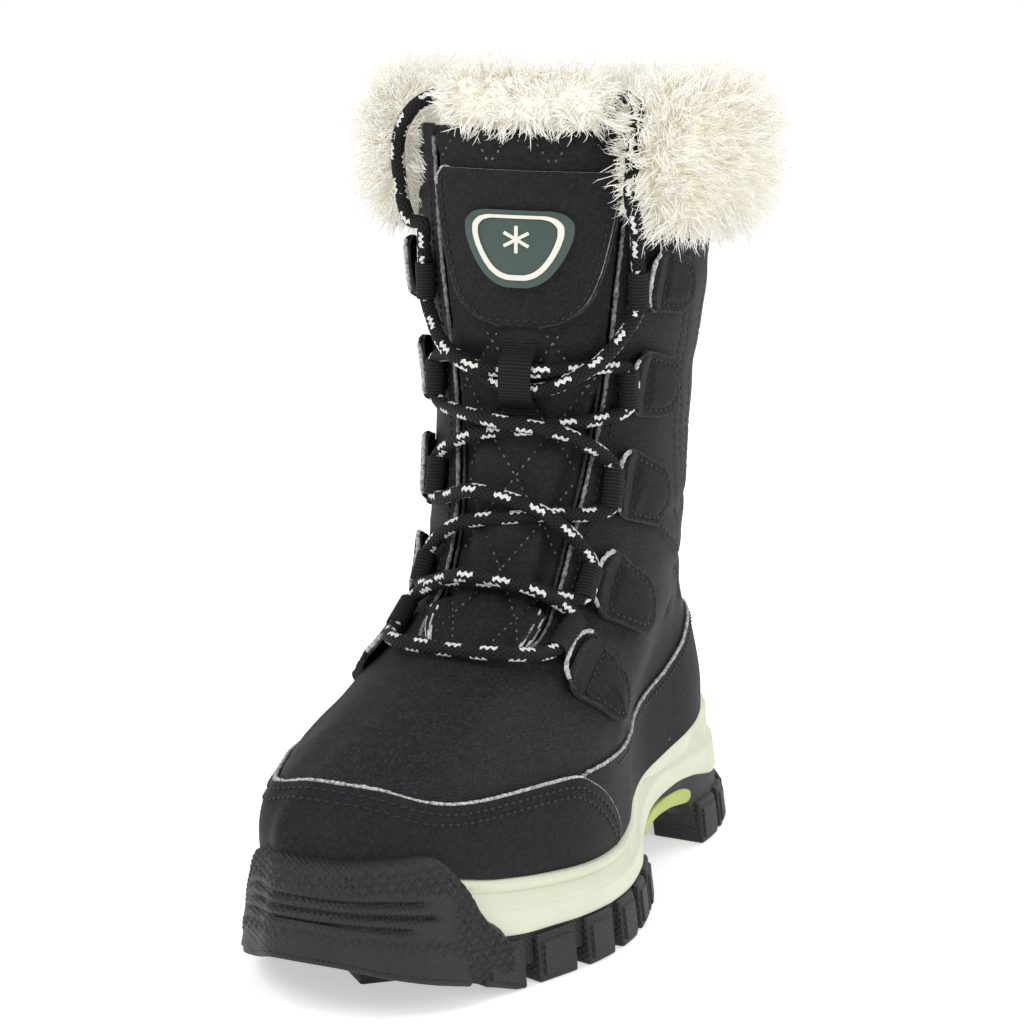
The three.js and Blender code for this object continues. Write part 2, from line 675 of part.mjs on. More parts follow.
// Keeper: centre height and half height as shares of shaftHeight, width in millimetres.
const keeper = { height: 0.686, reach: 0.034, width: 10 };
const keeperLift = 1.2;
const keeperSeat = upperForm(shaftHeight / 2, shaftHeight, 0);
function makeKeeper() {
  const middle = onFront(0, keeper.height * shaftHeight, 0);
  const inside = 2 * laceRadius + 2 * loopClearance;
  const v = -forward.dot(middle.clone().setY(middle.y - shaftPivot));
  const ring = (grow) => {
    const reach = keeper.reach * shaftHeight + grow;
    const corner = 2.2;
    const back = gap - v - grow + webbing;
    const front = back + inside + 2 * grow + keeperLift;
    return [[back, -reach], [front - corner, -reach], [front, corner - reach], [front, reach - corner],
      [front - corner, reach], [back, reach]].map(([a, b]) => new THREE.Vector2(a, b));
  };
  const shape = (grow) => new THREE.Shape(ring(grow));
  const solid = (grow, width) => {
    const geometry = new THREE.ExtrudeGeometry(shape(grow), { depth: width, bevelEnabled: false });
    geometry.applyMatrix4(new THREE.Matrix4().makeBasis(forward, upright, across.clone().negate()));
    const start = across.clone().multiplyScalar(ridge(middle.z) + width / 2);
    geometry.translate(start.x, start.y + shaftPivot, middle.z);
    return solidOf(geometry);
  };
  return solid(webbing, keeper.width).subtract(solid(0, keeper.width + 2)).subtract(keeperSeat);
}

// Strands of the lace between loops: each goes from the top of one loop to the foot of another, by way of points
// given as side (share of ballWidth), height (share of shaftHeight) and out (millimetres from the upper).
const strandLift = 1.5;
const strandRows = [
  { from: [0, 'low', -1], to: [0, 'low', 1], by: [[-0.17, 0.347, 7.4], [0.13, 0.350, 5.8]] },
  { from: [0, 'high', -1], to: [1, 'low', 1], by: [[-0.13, 0.420, 4.4], [0.05, 0.428, 3.4]] },
  { from: [0, 'high', 1], to: [1, 'low', -1], by: [[0.11, 0.416, 6], [-0.05, 0.426, 6.4]] },
  { from: [1, 'high', -1], to: [2, 'low', 1], by: [[-0.14, 0.490, 4.4], [0.05, 0.512, 3.2]] },
  { from: [1, 'high', 1], to: [2, 'low', -1], by: [[0.10, 0.510, 5.4], [-0.07, 0.536, 6]] },
  { from: [2, 'high', -1], to: [3, 'low', 1], by: [[-0.11, 0.608, 4.4], [0.07, 0.624, 4.2]] },
  { from: [2, 'high', 1], to: [3, 'low', -1], by: [[0.13, 0.612, 5.4], [-0.07, 0.630, 6]] },
  { from: [3, 'high', -1], to: [4, 'low', 1], by: [[-0.16, 0.706, 4.6], [-0.03, 0.672, 4.4], [0.06, 0.674, 4.4], [0.20, 0.720, 5]] },
  { from: [3, 'high', 1], to: [4, 'low', -1], by: [[0.18, 0.700, 4.6], [0.05, 0.698, 4.4], [-0.06, 0.696, 4.4], [-0.19, 0.722, 5]] },
];
const strandStep = 19;
const endStep = 11;
function strandEnd([level, end, sign], lead) {
  const [low, high] = loopEnds(lacingRows[level], sign);
  const along = high.clone().sub(low).normalize();
  return end === 'high' ? high.addScaledVector(along, lead) : low.addScaledVector(along, -lead);
}
const placed = ([side, height, out]) => onFront(side * ballWidth, height * shaftHeight, out + strandLift);
function makeCrossings() {
  const parts = [];
  lacingRows.forEach((row, level) => [-1, 1].forEach((sign) => {
    parts.push(tube([strandEnd([level, 'low', sign], strandRise), strandEnd([level, 'high', sign], strandRise)],
      laceRadius, strandSides, soleLength));
  }));
  strandRows.forEach((row) => {
    const points = [strandEnd(row.from, strandRise), ...row.by.map(placed), strandEnd(row.to, strandRise)];
    parts.push(tube(points, laceRadius, strandSides, strandStep));
  });
  const cords = parts.reduce((all, part) => all.add(part));
  return lacingRows.flatMap((row) => [-1, 1].map((sign) => loopRoom(row, sign)))
    .reduce((all, room) => all.subtract(room), cords)
    .decompose().sort((a, b) => b.volume() - a.volume())[0];
}

// Free ends of the lace: up through the top loop, along the throat's edge and over the collar.
const endRows = {
  lateral: [[0.278, 0.878, 5.6], [0.262, 0.925, 6], [0.268, 0.985, 6], [0.285, 1.028, 2], [0.290, 1.040, -6], [0.290, 1.024, -13]],
  medial: [[-0.315, 0.880, 5.6], [-0.345, 0.930, 6.5], [-0.345, 0.985, 6.5], [-0.310, 1.024, 3], [-0.290, 1.038, -6], [-0.290, 1.024, -13]],
};
function makeEnd(name, sign) {
  const level = lacingRows.length - 1;
  const leads = [strandRise + gap, strandRise + 2 * laceRadius];
  const points = [...leads.map((lead) => strandEnd([level, 'high', sign], lead)), ...endRows[name].map(placed)];
  return tube(points, laceRadius, cordSides, endStep);
}

// Fur: rolls of pile with locks fused on. Each roll is a stack of oval sections along a path, and every section
// has a centre, an outward direction, a half thickness and a half height.
const furSides = 9;
function rollSections(path, thickness, height) {
  return path.map(({ centre, out, size }) => Array.from({ length: furSides }, (_, i) => {
    const angle = -(i / furSides) * 2 * Math.PI;
    return centre.clone()
      .addScaledVector(out, (thickness / 2) * size * Math.cos(angle))
      .addScaledVector(upright, (height / 2) * size * Math.sin(angle));
  }));
}
function lock(foot, tip, radius) {
  const cone = new THREE.ConeGeometry(radius, foot.distanceTo(tip), 5, 1);
  cone.translate(0, foot.distanceTo(tip) / 2, 0);
  cone.applyQuaternion(new THREE.Quaternion().setFromUnitVectors(upright.clone().set(0, 1, 0), tip.clone().sub(foot).normalize()));
  cone.translate(foot.x, foot.y, foot.z);
  return solidOf(cone);
}
function furRoll(path, thickness, height, lockCount, lockRadius) {
  let roll = stack(rollSections(path, thickness, height));
  const goldenTurn = (3 - Math.sqrt(5)) * Math.PI;
  for (let i = 0; i < lockCount; i += 1) {
    const near = 1 + Math.floor((Math.floor(i / 2) / lockCount) * (path.length - 1));
    const { centre, out, size } = path[i % 2 ? near : path.length - 1 - near];
    const angle = Math.floor(i / 2) * goldenTurn;
    const direction = out.clone().multiplyScalar(Math.cos(angle)).addScaledVector(upright, Math.sin(angle));
    const reach = Math.abs(Math.cos(angle)) * (thickness / 2) + Math.abs(Math.sin(angle)) * (height / 2);
    const foot = centre.clone().addScaledVector(direction, reach * size * 0.62);
    const tip = centre.clone().addScaledVector(direction, reach * size * 0.9 + lockLength);
    if (Math.cos(angle) > -0.5) roll = roll.add(lock(foot, tip, lockRadius));
  }
  return roll;
}
const cuff = { height: 0.972, out: 5, side: 0.9, start: 0.158, sections: 18 };
const cuffLocks = 26;
function makeCuff() {
  const path = Array.from({ length: cuff.sections + 1 }, (_, i) => {
    const share = i / cuff.sections;
    const turn = cuff.start + share * (1 - 2 * cuff.start);
    const height = cuff.height * shaftHeight;
    const centre = grownPoint(turn, height, cuff.out);
    centre.x += cuff.side;
    const out = centre.clone().sub(upperPoint(turn, height)).setZ(0).normalize();
    const fromEnd = Math.min(i, cuff.sections - i);
    return { centre, out, size: [0.45, 0.88][fromEnd] ?? 1 };
  });
  const collar = upperForm(shaftHeight * 0.7, shaftHeight + gap, overlayThickness + 2 * gap)
    .subtract(upperForm(shaftHeight * 0.69, shaftHeight + 2 * gap, -wall - gap));
  return furRoll(path, furThickness, furHeight, cuffLocks, 6).subtract(collar);
}
const tongueRoll = { height: 1.034, out: -3, side: 0.205, sections: 6, thickness: 13, tall: 15 };
function makeTongueFur() {
  const path = Array.from({ length: tongueRoll.sections + 1 }, (_, i) => {
    const side = (i / tongueRoll.sections * 2 - 1) * tongueRoll.side * ballWidth;
    const centre = onFront(side, shaftHeight, tongueRoll.out).setZ(tongueRoll.height * shaftHeight);
    const fromEnd = Math.min(i, tongueRoll.sections - i);
    return { centre, out: forward, size: [0.5, 0.9][fromEnd] ?? 1 };
  });
  return furRoll(path, tongueRoll.thickness, tongueRoll.tall, 10, 4)
    .intersect(above(level(tongueTop * shaftHeight + gap)));
}

const boot = new THREE.Group();
const flatness = 0.08;
function add(name, solid, color, roughness) {
  const mesh = new THREE.Mesh(geometryOf(solid.simplify(flatness)), new THREE.MeshStandardMaterial({ color, roughness, metalness: 0 }));
  mesh.name = name;
  boot.add(mesh);
}
const black = 0x222326;
const rubber = 0x2b2c2e;
add('outsole', makeOutsole(), rubber, 0.75);
add('midsole', makeMidsole(), 0xe1e6cd, 0.6);
add('arch_insert', makeArchInsert(), 0xbecd5a, 0.5);
add('insole', makeInsole(), 0xd8d3c4, 0.9);
add('upper', makeUpper(), black, 0.8);
add('toe_cap', overlay.intersect(sidePrism(capOutline(0), -ballWidth, ballWidth)), black, 0.75);
add('rand_lateral', makeRand('lateral', 1), black, 0.75);
add('rand_medial', makeRand('medial', -1), black, 0.75);
add('back_stay', overlay.intersect(stayPrism(0)), black, 0.75);
add('tongue', makeTongue(), black, 0.85);
add('tongue_patch', makeFrontPlate(patchRows, patchOut, patchOut + overlayThickness), black, 0.75);
add('badge', makeFrontPlate(badgeRows, badgeOut, badgeOut + badgeThickness), 0x4d6259, 0.5);
add('lace_keeper', makeKeeper(), black, 0.85);
lacingRows.forEach((row, i) => {
  for (const [name, sign] of [['lateral', 1], ['medial', -1]]) {
    add(`lace_tab_${name}_${i + 1}`, makeTab(row, sign), black, 0.75);
    add(`lace_loop_${name}_${i + 1}`, makeLoop(row, sign), black, 0.85);
  }
});
add('lace_crossings', makeCrossings(), black, 0.8);
add('lace_end_lateral', makeEnd('lateral', 1), black, 0.8);
add('lace_end_medial', makeEnd('medial', -1), black, 0.8);
add('fur_cuff', makeCuff(), 0xf0eadb, 1);
add('tongue_fur', makeTongueFur(), 0xf0eadb, 1);

export default boot;
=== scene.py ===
"""Snow boot for the left foot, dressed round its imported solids.

The toe points to -Y, the outer side to +X. Lengths in the tables are shares of the boot's own sizes; the
functions of the form work in millimetres and every mesh is written in metres.
"""

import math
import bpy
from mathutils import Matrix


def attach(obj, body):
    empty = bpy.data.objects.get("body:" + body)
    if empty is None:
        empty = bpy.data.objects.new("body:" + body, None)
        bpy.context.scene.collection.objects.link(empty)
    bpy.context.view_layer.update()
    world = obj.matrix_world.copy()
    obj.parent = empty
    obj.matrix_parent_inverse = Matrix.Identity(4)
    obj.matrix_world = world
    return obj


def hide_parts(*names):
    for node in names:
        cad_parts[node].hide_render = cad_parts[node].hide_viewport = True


bl_info = {
    "name": "Fur Collar Snow Boot",
    "version": (1, 0, 0),
    "blender": (4, 5, 0),
    "location": "View3D > Sidebar > Snow Boot",
    "description": "Builds the uppers, lacing, fur, sole and stage of a snow boot",
    "category": "Object",
}

import bmesh
import bpy
import numpy as np
from mathutils import Matrix, Vector

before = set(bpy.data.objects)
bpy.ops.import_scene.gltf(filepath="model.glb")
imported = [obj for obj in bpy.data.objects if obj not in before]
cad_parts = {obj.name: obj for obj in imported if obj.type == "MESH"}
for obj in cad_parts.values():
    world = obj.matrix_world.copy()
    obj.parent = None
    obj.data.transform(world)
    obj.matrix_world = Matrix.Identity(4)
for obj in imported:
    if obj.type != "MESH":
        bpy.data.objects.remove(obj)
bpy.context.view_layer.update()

MM = 0.001
SOLE_LENGTH = 284.0
BALL_WIDTH = 111.0
HEEL_HEIGHT = 46.0
SHAFT_HEIGHT = 250.0
WALL = 2.6
GAP = 0.3
OVERLAY = 1.4
TAB = 2.2
LACE_RADIUS = 2.3
FOOT_OFFSET = 3.0
SHAFT_TURN = math.radians(8)
SOLE_LEAN = 0.15
BUMPER_PROUD = 3.0
LUG_PROUD = 2.0
LUG_DEPTH = 17.0
LUG_GAP = 5.0
LUG_TOP = 0.31
BUMPER_SHIFT = 0.035
TREAD_DEPTH = 6.0
BACK_STAY_WIDTH = 16.0
TAB_SEAM_BACK = 9.0
TAB_LIFT = 3.6
# Emission strength of the fur: painted light, a glow that stands in for light passing through the pale hairs.
FUR_GLOW = 0.14
KNURL_PITCH = 0.0021
TONGUE_TOP = 0.996
TONGUE_OVERLAP = 7.0
LUG_GAPS = (0.130, 0.205, 0.280, 0.350, 0.415, 0.475, 0.835, 0.900)
HALF = SOLE_LENGTH / 2
PIVOT = 0.33 * HALF
OVAL_DEPTH = 1.35
LOOP_POINTS = 720
SIDE_LINE_POINTS = 90

# Tables of the form: along counts from the toe in sole lengths, heights are shares of the shaft or heel
# height.
SOLE_ROWS = np.array([
    (0, 0.02, -0.02), (0.01, 0.125, 0.1), (0.035, 0.185, 0.17), (0.07, 0.268, 0.25),
    (0.13, 0.342, 0.318), (0.183, 0.39, 0.368), (0.243, 0.44, 0.425), (0.32, 0.47, 0.485),
    (0.4, 0.445, 0.5), (0.49, 0.385, 0.462), (0.57, 0.325, 0.395), (0.64, 0.31, 0.36),
    (0.72, 0.318, 0.362), (0.8, 0.335, 0.372), (0.86, 0.32, 0.358), (0.92, 0.268, 0.31),
    (0.965, 0.185, 0.23), (0.99, 0.085, 0.135), (1, -0.022, 0.022),
])
UPPER_ROWS = np.array([
    (0.08, -0.859, 0.855, 0.811, 0.026, 1), (0.128, -0.915, 0.885, 0.874, 0.02, 1),
    (0.176, -0.926, 0.896, 0.886, 0.008, 1), (0.212, -0.906, 0.899, 0.876, 0.005, 1),
    (0.24, -0.858, 0.899, 0.854, 0.006, 0.95), (0.264, -0.788, 0.897, 0.824, 0.009, 0.88),
    (0.288, -0.695, 0.893, 0.796, 0.011, 0.8), (0.312, -0.574, 0.887, 0.77, 0.013, 0.7),
    (0.34, -0.44, 0.878, 0.75, 0.013, 0.55), (0.368, -0.326, 0.867, 0.74, 0.011, 0.4),
    (0.4, -0.239, 0.854, 0.734, 0.008, 0.28), (0.448, -0.169, 0.831, 0.736, 0.004, 0.14),
    (0.528, -0.106, 0.8, 0.74, 0, 0), (0.66, -0.056, 0.765, 0.76, 0, 0),
    (0.82, -0.099, 0.745, 0.85, 0, 0), (1, -0.127, 0.738, 0.88, 0, 0),
])
UNDERSIDE = np.array([
    (-0.05, 0.45), (0, 0.39), (0.042, 0.283), (0.085, 0.196), (0.13, 0.12), (0.165, 0.06), (0.2, 0),
    (0.545, 0), (0.556, 0.09), (0.578, 0.205), (0.612, 0.31), (0.665, 0.365), (0.718, 0.35),
    (0.752, 0.25), (0.77, 0.1), (0.774, 0), (0.95, 0), (1, 0.12), (1.05, 0.25),
])
OUTSOLE_TOP = np.array([
    (-0.05, 0.59), (0, 0.565), (0.085, 0.46), (0.165, 0.375), (0.23, 0.33), (0.5, 0.325),
    (0.57, 0.39), (0.64, 0.48), (0.72, 0.535), (0.78, 0.52), (0.85, 0.44), (0.93, 0.405),
    (1.05, 0.4),
])
MIDSOLE_TOP = np.array([
    (-0.05, 0.87), (0.105, 0.85), (0.148, 0.775), (0.2, 0.705), (0.29, 0.64), (0.38, 0.612),
    (0.47, 0.63), (0.57, 0.71), (0.68, 0.8), (0.78, 0.885), (0.89, 0.96), (1.05, 1),
])
FOOTBED = np.array([
    (-0.05, 0.66), (0, 0.65), (0.08, 0.59), (0.18, 0.48), (0.29, 0.44), (0.43, 0.44), (0.57, 0.5),
    (0.71, 0.59), (0.82, 0.65), (1.05, 0.675),
])
BUMPER_ROWS = np.array([
    (-0.05, 1.01), (0.08, 1.005), (0.108, 0.96), (0.132, 0.8), (0.158, 0.54), (0.185, 0.37),
    (0.2, 0),
])
ARCH_INSERT = [
    (0.588, 0.375), (0.612, 0.425), (0.640, 0.452), (0.672, 0.472), (0.705, 0.482), (0.735, 0.474),
    (0.755, 0.452), (0.766, 0.415), (0.764, 0.372), (0.752, 0.352), (0.735, 0.362), (0.705, 0.385),
    (0.672, 0.388), (0.640, 0.378), (0.612, 0.366), (0.596, 0.358),
]
# Top of the rubber under the arch: along and millimetres above the ground.
ARCH_TOP = ((0.556, 18), (0.64, 21.5), (0.70, 22.5), (0.752, 20))
# Side of the midsole from its lower to its upper edge: share of its height, growth in millimetres, beading.
MIDSOLE_PROFILE = [
    (0.0, 0.4, 0), (0.04, 0.9, 0), (0.15, 0.88, 0), (0.26, 0.85, 0), (0.37, 0.8, 0), (0.47, 0.75, 0),
    (0.5, 0.2, 0), (0.54, -0.5, 0), (0.74, -0.7, 0), (0.77, -1.3, 0), (0.80, -1.25, 0), (0.83, -0.6, 1),
    (0.90, -0.45, 1), (0.95, -0.7, 0.6), (0.985, -1.4, 0), (1.0, -2.6, 0),
]
CAP_EDGE = np.array([
    (-0.06, 0.262), (0.08, 0.258), (0.12, 0.237), (0.172, 0.227), (0.285, 0.225), (0.33, 0.222),
    (0.356, 0.208), (0.386, 0.186), (0.424, 0.142), (0.462, 0.06),
])
RAND_ROWS = np.array([
    (0.3, 0.222, 0.222), (0.39, 0.225, 0.228), (0.5, 0.229, 0.24), (0.6, 0.238, 0.258),
    (0.7, 0.256, 0.283), (0.78, 0.28, 0.303), (0.86, 0.31, 0.32), (1.05, 0.332, 0.332),
])
THROAT_ROWS = np.array([
    (0.357, 0.1), (0.362, 0.155), (0.373, 0.18), (0.42, 0.178), (0.5, 0.183), (0.58, 0.203),
    (0.68, 0.23), (0.832, 0.266), (1.06, 0.312),
])
PATCH_ROWS = np.array([
    (0.752, 0.055), (0.762, 0.126), (0.78, 0.18), (0.812, 0.216), (0.86, 0.243), (0.912, 0.262),
    (0.936, 0.266), (0.948, 0.245),
])
BADGE_ROWS = np.array([
    (0.802, 0.035), (0.809, 0.076), (0.83, 0.119), (0.86, 0.153), (0.88, 0.161), (0.893, 0.148),
    (0.899, 0.11),
])
# Lace loops: lower end, upper end, and distance from the front's ridge in ball widths.
LACING_ROWS = np.array([
    (0.35, 0.392, 0.232), (0.4, 0.458, 0.226), (0.508, 0.582, 0.24), (0.636, 0.712, 0.264),
    (0.768, 0.838, 0.291),
])
# Tabs: along and height of the front edge's lower end, its upper end and the round end, and the rounding in
# ball widths.
TAB_ROWS = np.array([
    (0.352, 0.326, 0.437, 0.38, 0.442, 0.302, 0.082), (0.452, 0.398, 0.5, 0.476, 0.545, 0.394, 0.088),
    (0.511, 0.512, 0.537, 0.602, 0.598, 0.526, 0.088), (0.542, 0.638, 0.543, 0.726, 0.612, 0.668, 0.088),
    (0.538, 0.776, 0.539, 0.856, 0.606, 0.804, 0.08),
])
CENTRE_LUGS = np.array([
    (0.17, 0), (0.25, -0.13), (0.25, 0.13), (0.33, 0), (0.4, -0.14), (0.4, 0.15), (0.475, 0.02),
    (0.83, 0.02), (0.9, 0.02),
])


def column(rows, col, at):
    """Smooth interpolation of one column of a table by its first column."""
    xs = rows[:, 0]
    ys = rows[:, col]
    at = np.clip(np.asarray(at, float), xs[0], xs[-1])
    a = np.clip(np.searchsorted(xs[1:], at, side="left"), 0, len(xs) - 2)
    b = a + 1
    before = np.maximum(a - 1, 0)
    after = np.minimum(a + 2, len(xs) - 1)
    span = xs[b] - xs[a]
    t = (at - xs[a]) / span
    slope_a = (ys[b] - ys[before]) / (xs[b] - xs[before]) * span
    slope_b = (ys[after] - ys[a]) / (xs[after] - xs[a]) * span
    t2 = t * t
    t3 = t2 * t
    return ((2 * t3 - 3 * t2 + 1) * ys[a] + (t3 - 2 * t2 + t) * slope_a
            + (3 * t2 - 2 * t3) * ys[b] + (t3 - t2) * slope_b)


def spline(points, closed=False, per=16):
    """Centripetal curve through points, as close points along it."""
    points = np.asarray(points, float)
    count = len(points)
    ends = [] if closed else [2 * points[0] - points[1], 2 * points[-1] - points[-2]]
    out = []
    for i in range(count if closed else count - 1):
        p1 = points[i]
        p2 = points[(i + 1) % count]
        p0 = points[i - 1] if closed or i > 0 else ends[0]
        p3 = points[(i + 2) % count] if closed or i + 2 < count else ends[1]
        d0, d1, d2 = (max(np.linalg.norm(b - a) ** 0.5, 1e-4) for a, b in ((p0, p1), (p1, p2), (p2, p3)))
        m1 = ((p1 - p0) / d0 - (p2 - p0) / (d0 + d1) + (p2 - p1) / d1) * d1
        m2 = ((p2 - p1) / d1 - (p3 - p1) / (d1 + d2) + (p3 - p2) / d2) * d1
        t = (np.arange(per) / per)[:, None]
        out.append((2 * t ** 3 - 3 * t ** 2 + 1) * p1 + (t ** 3 - 2 * t ** 2 + t) * m1
                   + (3 * t ** 2 - 2 * t ** 3) * p2 + (t ** 3 - t ** 2) * m2)
    out.append(points[:1] if closed else points[-1:])
    return np.concatenate(out)


def even(points, count=None, step=None, closed=False):
    """Points at equal distances along a polyline."""
    lengths = np.r_[0, np.cumsum(np.linalg.norm(np.diff(points, axis=0), axis=1))]
    if count is None:
        count = max(2, int(round(lengths[-1] / step)) + 1)
    at = np.arange(count) / (count if closed else count - 1) * lengths[-1]
    return np.stack([np.interp(at, lengths, points[:, k]) for k in range(points.shape[1])], -1)


def sole_loop():
    outer = [(r[2] * BALL_WIDTH, (r[0] * 2 - 1) * HALF) for r in SOLE_ROWS]
    inner = [(-r[1] * BALL_WIDTH, (r[0] * 2 - 1) * HALF) for r in SOLE_ROWS[1:-1][::-1]]
    return even(spline(outer + inner, True, 40), LOOP_POINTS, closed=True)


def oval_loop():
    angles = np.arange(24) / 24 * 2 * math.pi
    return even(spline(np.stack([np.sin(angles), -np.cos(angles) * OVAL_DEPTH], -1), True, 40),
                LOOP_POINTS, closed=True)


FOOT = sole_loop()
OVAL = oval_loop()


def around(loop, turn):
    """Points part way round a loop; turn counts from the toe by the outer side."""
    at = np.mod(turn, 1) * LOOP_POINTS
    i = np.floor(at).astype(int) % LOOP_POINTS
    share = (at - np.floor(at))[..., None]
    return loop[i] * (1 - share) + loop[(i + 1) % LOOP_POINTS] * share


def form(turn, height):
    """The upper's outer form."""
    turn, height = np.broadcast_arrays(np.asarray(turn, float), np.asarray(height, float))
    share = height / SHAFT_HEIGHT
    front, back, width, shift, foot = (column(UPPER_ROWS, k, share) for k in range(1, 6))
    front = front * HALF
    back = back * HALF
    width = width * BALL_WIDTH
    sole = around(FOOT, turn)
    oval = around(OVAL, turn)
    middle = (front + back) / 2
    x0 = oval[..., 0] * width / 2
    y0 = oval[..., 1] / OVAL_DEPTH * (back - middle) + middle - PIVOT
    c, s = math.cos(SHAFT_TURN), math.sin(SHAFT_TURN)
    x = (x0 * c - y0 * s) * (1 - foot) + sole[..., 0] / (BALL_WIDTH / 2) * width / 2 * foot
    y = (x0 * s + y0 * c + PIVOT) * (1 - foot) + (sole[..., 1] / HALF * (back - middle) + middle) * foot
    return np.stack([x + shift * BALL_WIDTH, y, height], -1)


def form_normal(turn, height):
    along = form(turn + 0.004, height) - form(turn - 0.004, height)
    up = form(turn, height + 0.8) - form(turn, height - 0.8)
    normal = np.cross(along, up)
    return normal / np.linalg.norm(normal, axis=-1, keepdims=True)


def grown(turn, height, out):
    """The form moved out along its own normal."""
    turn, height, out = np.broadcast_arrays(np.asarray(turn, float), height, out)
    return form(turn, height) + form_normal(turn, height) * out[..., None]


ACROSS = np.array([math.cos(SHAFT_TURN), math.sin(SHAFT_TURN), 0])
FORWARD = np.array([math.sin(SHAFT_TURN), -math.cos(SHAFT_TURN), 0])
UP = np.array([0, 0, 1.0])
CENTRE = np.array([0, PIVOT, 0])


def across_of(points):
    return (points - CENTRE) @ ACROSS


def ridge(height, turn=0.0):
    """Where the form's front ridge, or at half a turn its back, lies across the shaft."""
    return across_of(form(turn, height))


def search(measure, wanted, low, high):
    """Turns at which a measure that rises from low to high meets the wanted values."""
    wanted = np.asarray(wanted, float)
    low = np.full(wanted.shape, low, float)
    high = np.full(wanted.shape, high, float)
    for _ in range(26):
        middle = (low + high) / 2
        below = measure(middle) < wanted
        low = np.where(below, middle, low)
        high = np.where(below, high, middle)
    return low


def front_turn(side, height):
    """The turn of a point on the front: side is measured across from the ridge."""
    side, height = np.broadcast_arrays(np.asarray(side, float), np.asarray(height, float))
    return search(lambda t: across_of(form(t, height)), ridge(height) + side, -0.27, 0.27)


def on_front(side, height, out):
    side, height, out = np.broadcast_arrays(np.asarray(side, float), height, out)
    turn = front_turn(side, height)
    return grown(turn, height, out + relief(turn, height))


def side_turn(y, height, sign):
    """The turn of a point on the outer (+1) or inner (-1) side at a distance y along the boot."""
    y, height = np.broadcast_arrays(np.asarray(y, float), np.asarray(height, float))
    return sign * search(lambda t: form(sign * t, height)[..., 1], y, 0.0, 0.5)


def sole_point(turn, height, grow):
    """The sole's side, leaning in as it rises."""
    turn, height, grow = np.broadcast_arrays(np.asarray(turn, float), np.asarray(height, float), grow)
    along = around(FOOT, turn + 0.004) - around(FOOT, turn - 0.004)
    out = np.stack([along[..., 1], -along[..., 0]], -1)
    out /= np.linalg.norm(out, axis=-1, keepdims=True)
    p = around(FOOT, turn) + out * (grow - SOLE_LEAN * height)[..., None]
    return np.stack([p[..., 0] + FOOT_OFFSET, p[..., 1], height], -1)


def sole_turn(y, sign):
    y = np.asarray(y, float)
    return sign * search(lambda t: around(FOOT, sign * t)[..., 1], y, 0.0, 0.5)


def share_along(y):
    return (np.asarray(y, float) / HALF + 1) / 2


def line_height(rows, y):
    """Height of a side view line of the sole at a distance y along the boot."""
    return column(rows, 1, share_along(y)) * HEEL_HEIGHT


# Creases and seams of the upper as soft troughs with a ridge beside them: side of the boot (0 is both),
# depth, width, and a line in side view as (y, z).
CREASES = [
    (1, 0.9, 3.2, [(14, 112), (34, 104), (58, 99), (84, 101), (108, 108)]),
    (-1, 0.9, 3.2, [(10, 112), (34, 106), (60, 101), (84, 102), (108, 108)]),
    (1, 0.7, 2.8, [(-6, 92), (16, 84), (42, 82), (66, 86)]),
    (-1, 0.8, 3.0, [(-14, 90), (12, 84), (40, 80), (66, 85)]),
    (0, 0.5, 4.0, [(-78, 66), (-56, 72), (-38, 70), (-22, 62)]),
    (0, 0.6, 2.6, [(20, 128), (44, 122), (70, 124), (96, 132)]),
    (0, 0.45, 5.0, [(30, 176), (52, 170), (80, 172), (104, 178)]),
    (0, 0.45, 4.5, [(26, 204), (50, 210), (78, 206)]),
    (1, 0.55, 0.9, [(-20, 76), (-15, 64), (-3, 59), (2, 54)]),
    (-1, 0.55, 0.9, [(-20, 76), (-15, 66), (-3, 60), (2, 54)]),
    (0, 0.55, 0.9, [(24, 124), (36, 116), (50, 110), (70, 104), (92, 84)]),
]
# Sewn lines of the shaft's sides as (y, z).
SIDE_SEAMS = [
    [(33, 214), (38, 190), (42, 165), (46, 140), (52, 122), (62, 100)],
    [(38, 216), (43, 192), (48, 166), (53, 144), (62, 126), (80, 112)],
    [(56, 216), (58, 188), (60, 160), (62, 140), (68, 122)],
    [(74, 214), (75, 186), (76, 158), (76, 128), (72, 104), (68, 86)],
    [(96, 214), (94, 190), (91, 166), (90, 140), (94, 116), (100, 94)],
    [(30, 124), (42, 116), (56, 110), (74, 103), (92, 86)],
    [(58, 152), (72, 150), (90, 153), (104, 156)],
    [(62, 182), (80, 180), (102, 184)],
]


def line_distance(y, z, line):
    line = np.asarray(line, float)
    best = np.full(np.shape(y), 1e9)
    for (ay, az), (by, bz) in zip(line[:-1], line[1:]):
        dy, dz = by - ay, bz - az
        t = np.clip(((y - ay) * dy + (z - az) * dz) / (dy * dy + dz * dz), 0, 1)
        best = np.minimum(best, np.hypot(y - ay - t * dy, z - az - t * dz))
    return best


def relief(turn, height):
    """Soft troughs and ridges of the upper, in millimetres outwards."""
    turn, height = np.broadcast_arrays(np.asarray(turn, float), np.asarray(height, float))
    p = form(turn, height)
    side = np.where(np.mod(turn, 1) < 0.5, 1, -1)
    out = np.zeros(turn.shape)
    for sign, depth, width, line in CREASES:
        d = line_distance(p[..., 1], p[..., 2], line) / width
        trough = -depth * np.exp(-d * d) + 0.4 * depth * np.exp(-((d - 2.2) / 1.1) ** 2)
        out += np.where((sign == 0) | (side == sign), trough, 0)
    for line in SIDE_SEAMS:
        d = line_distance(p[..., 1], p[..., 2], line)
        out -= 0.28 * np.exp(-(d / 1.1) ** 2)
    return out * np.clip((height - 50) / 12, 0, 1)


# Meshes

def smooth(value):
    value = np.clip(value, 0, 1)
    return value * value * (3 - 2 * value)


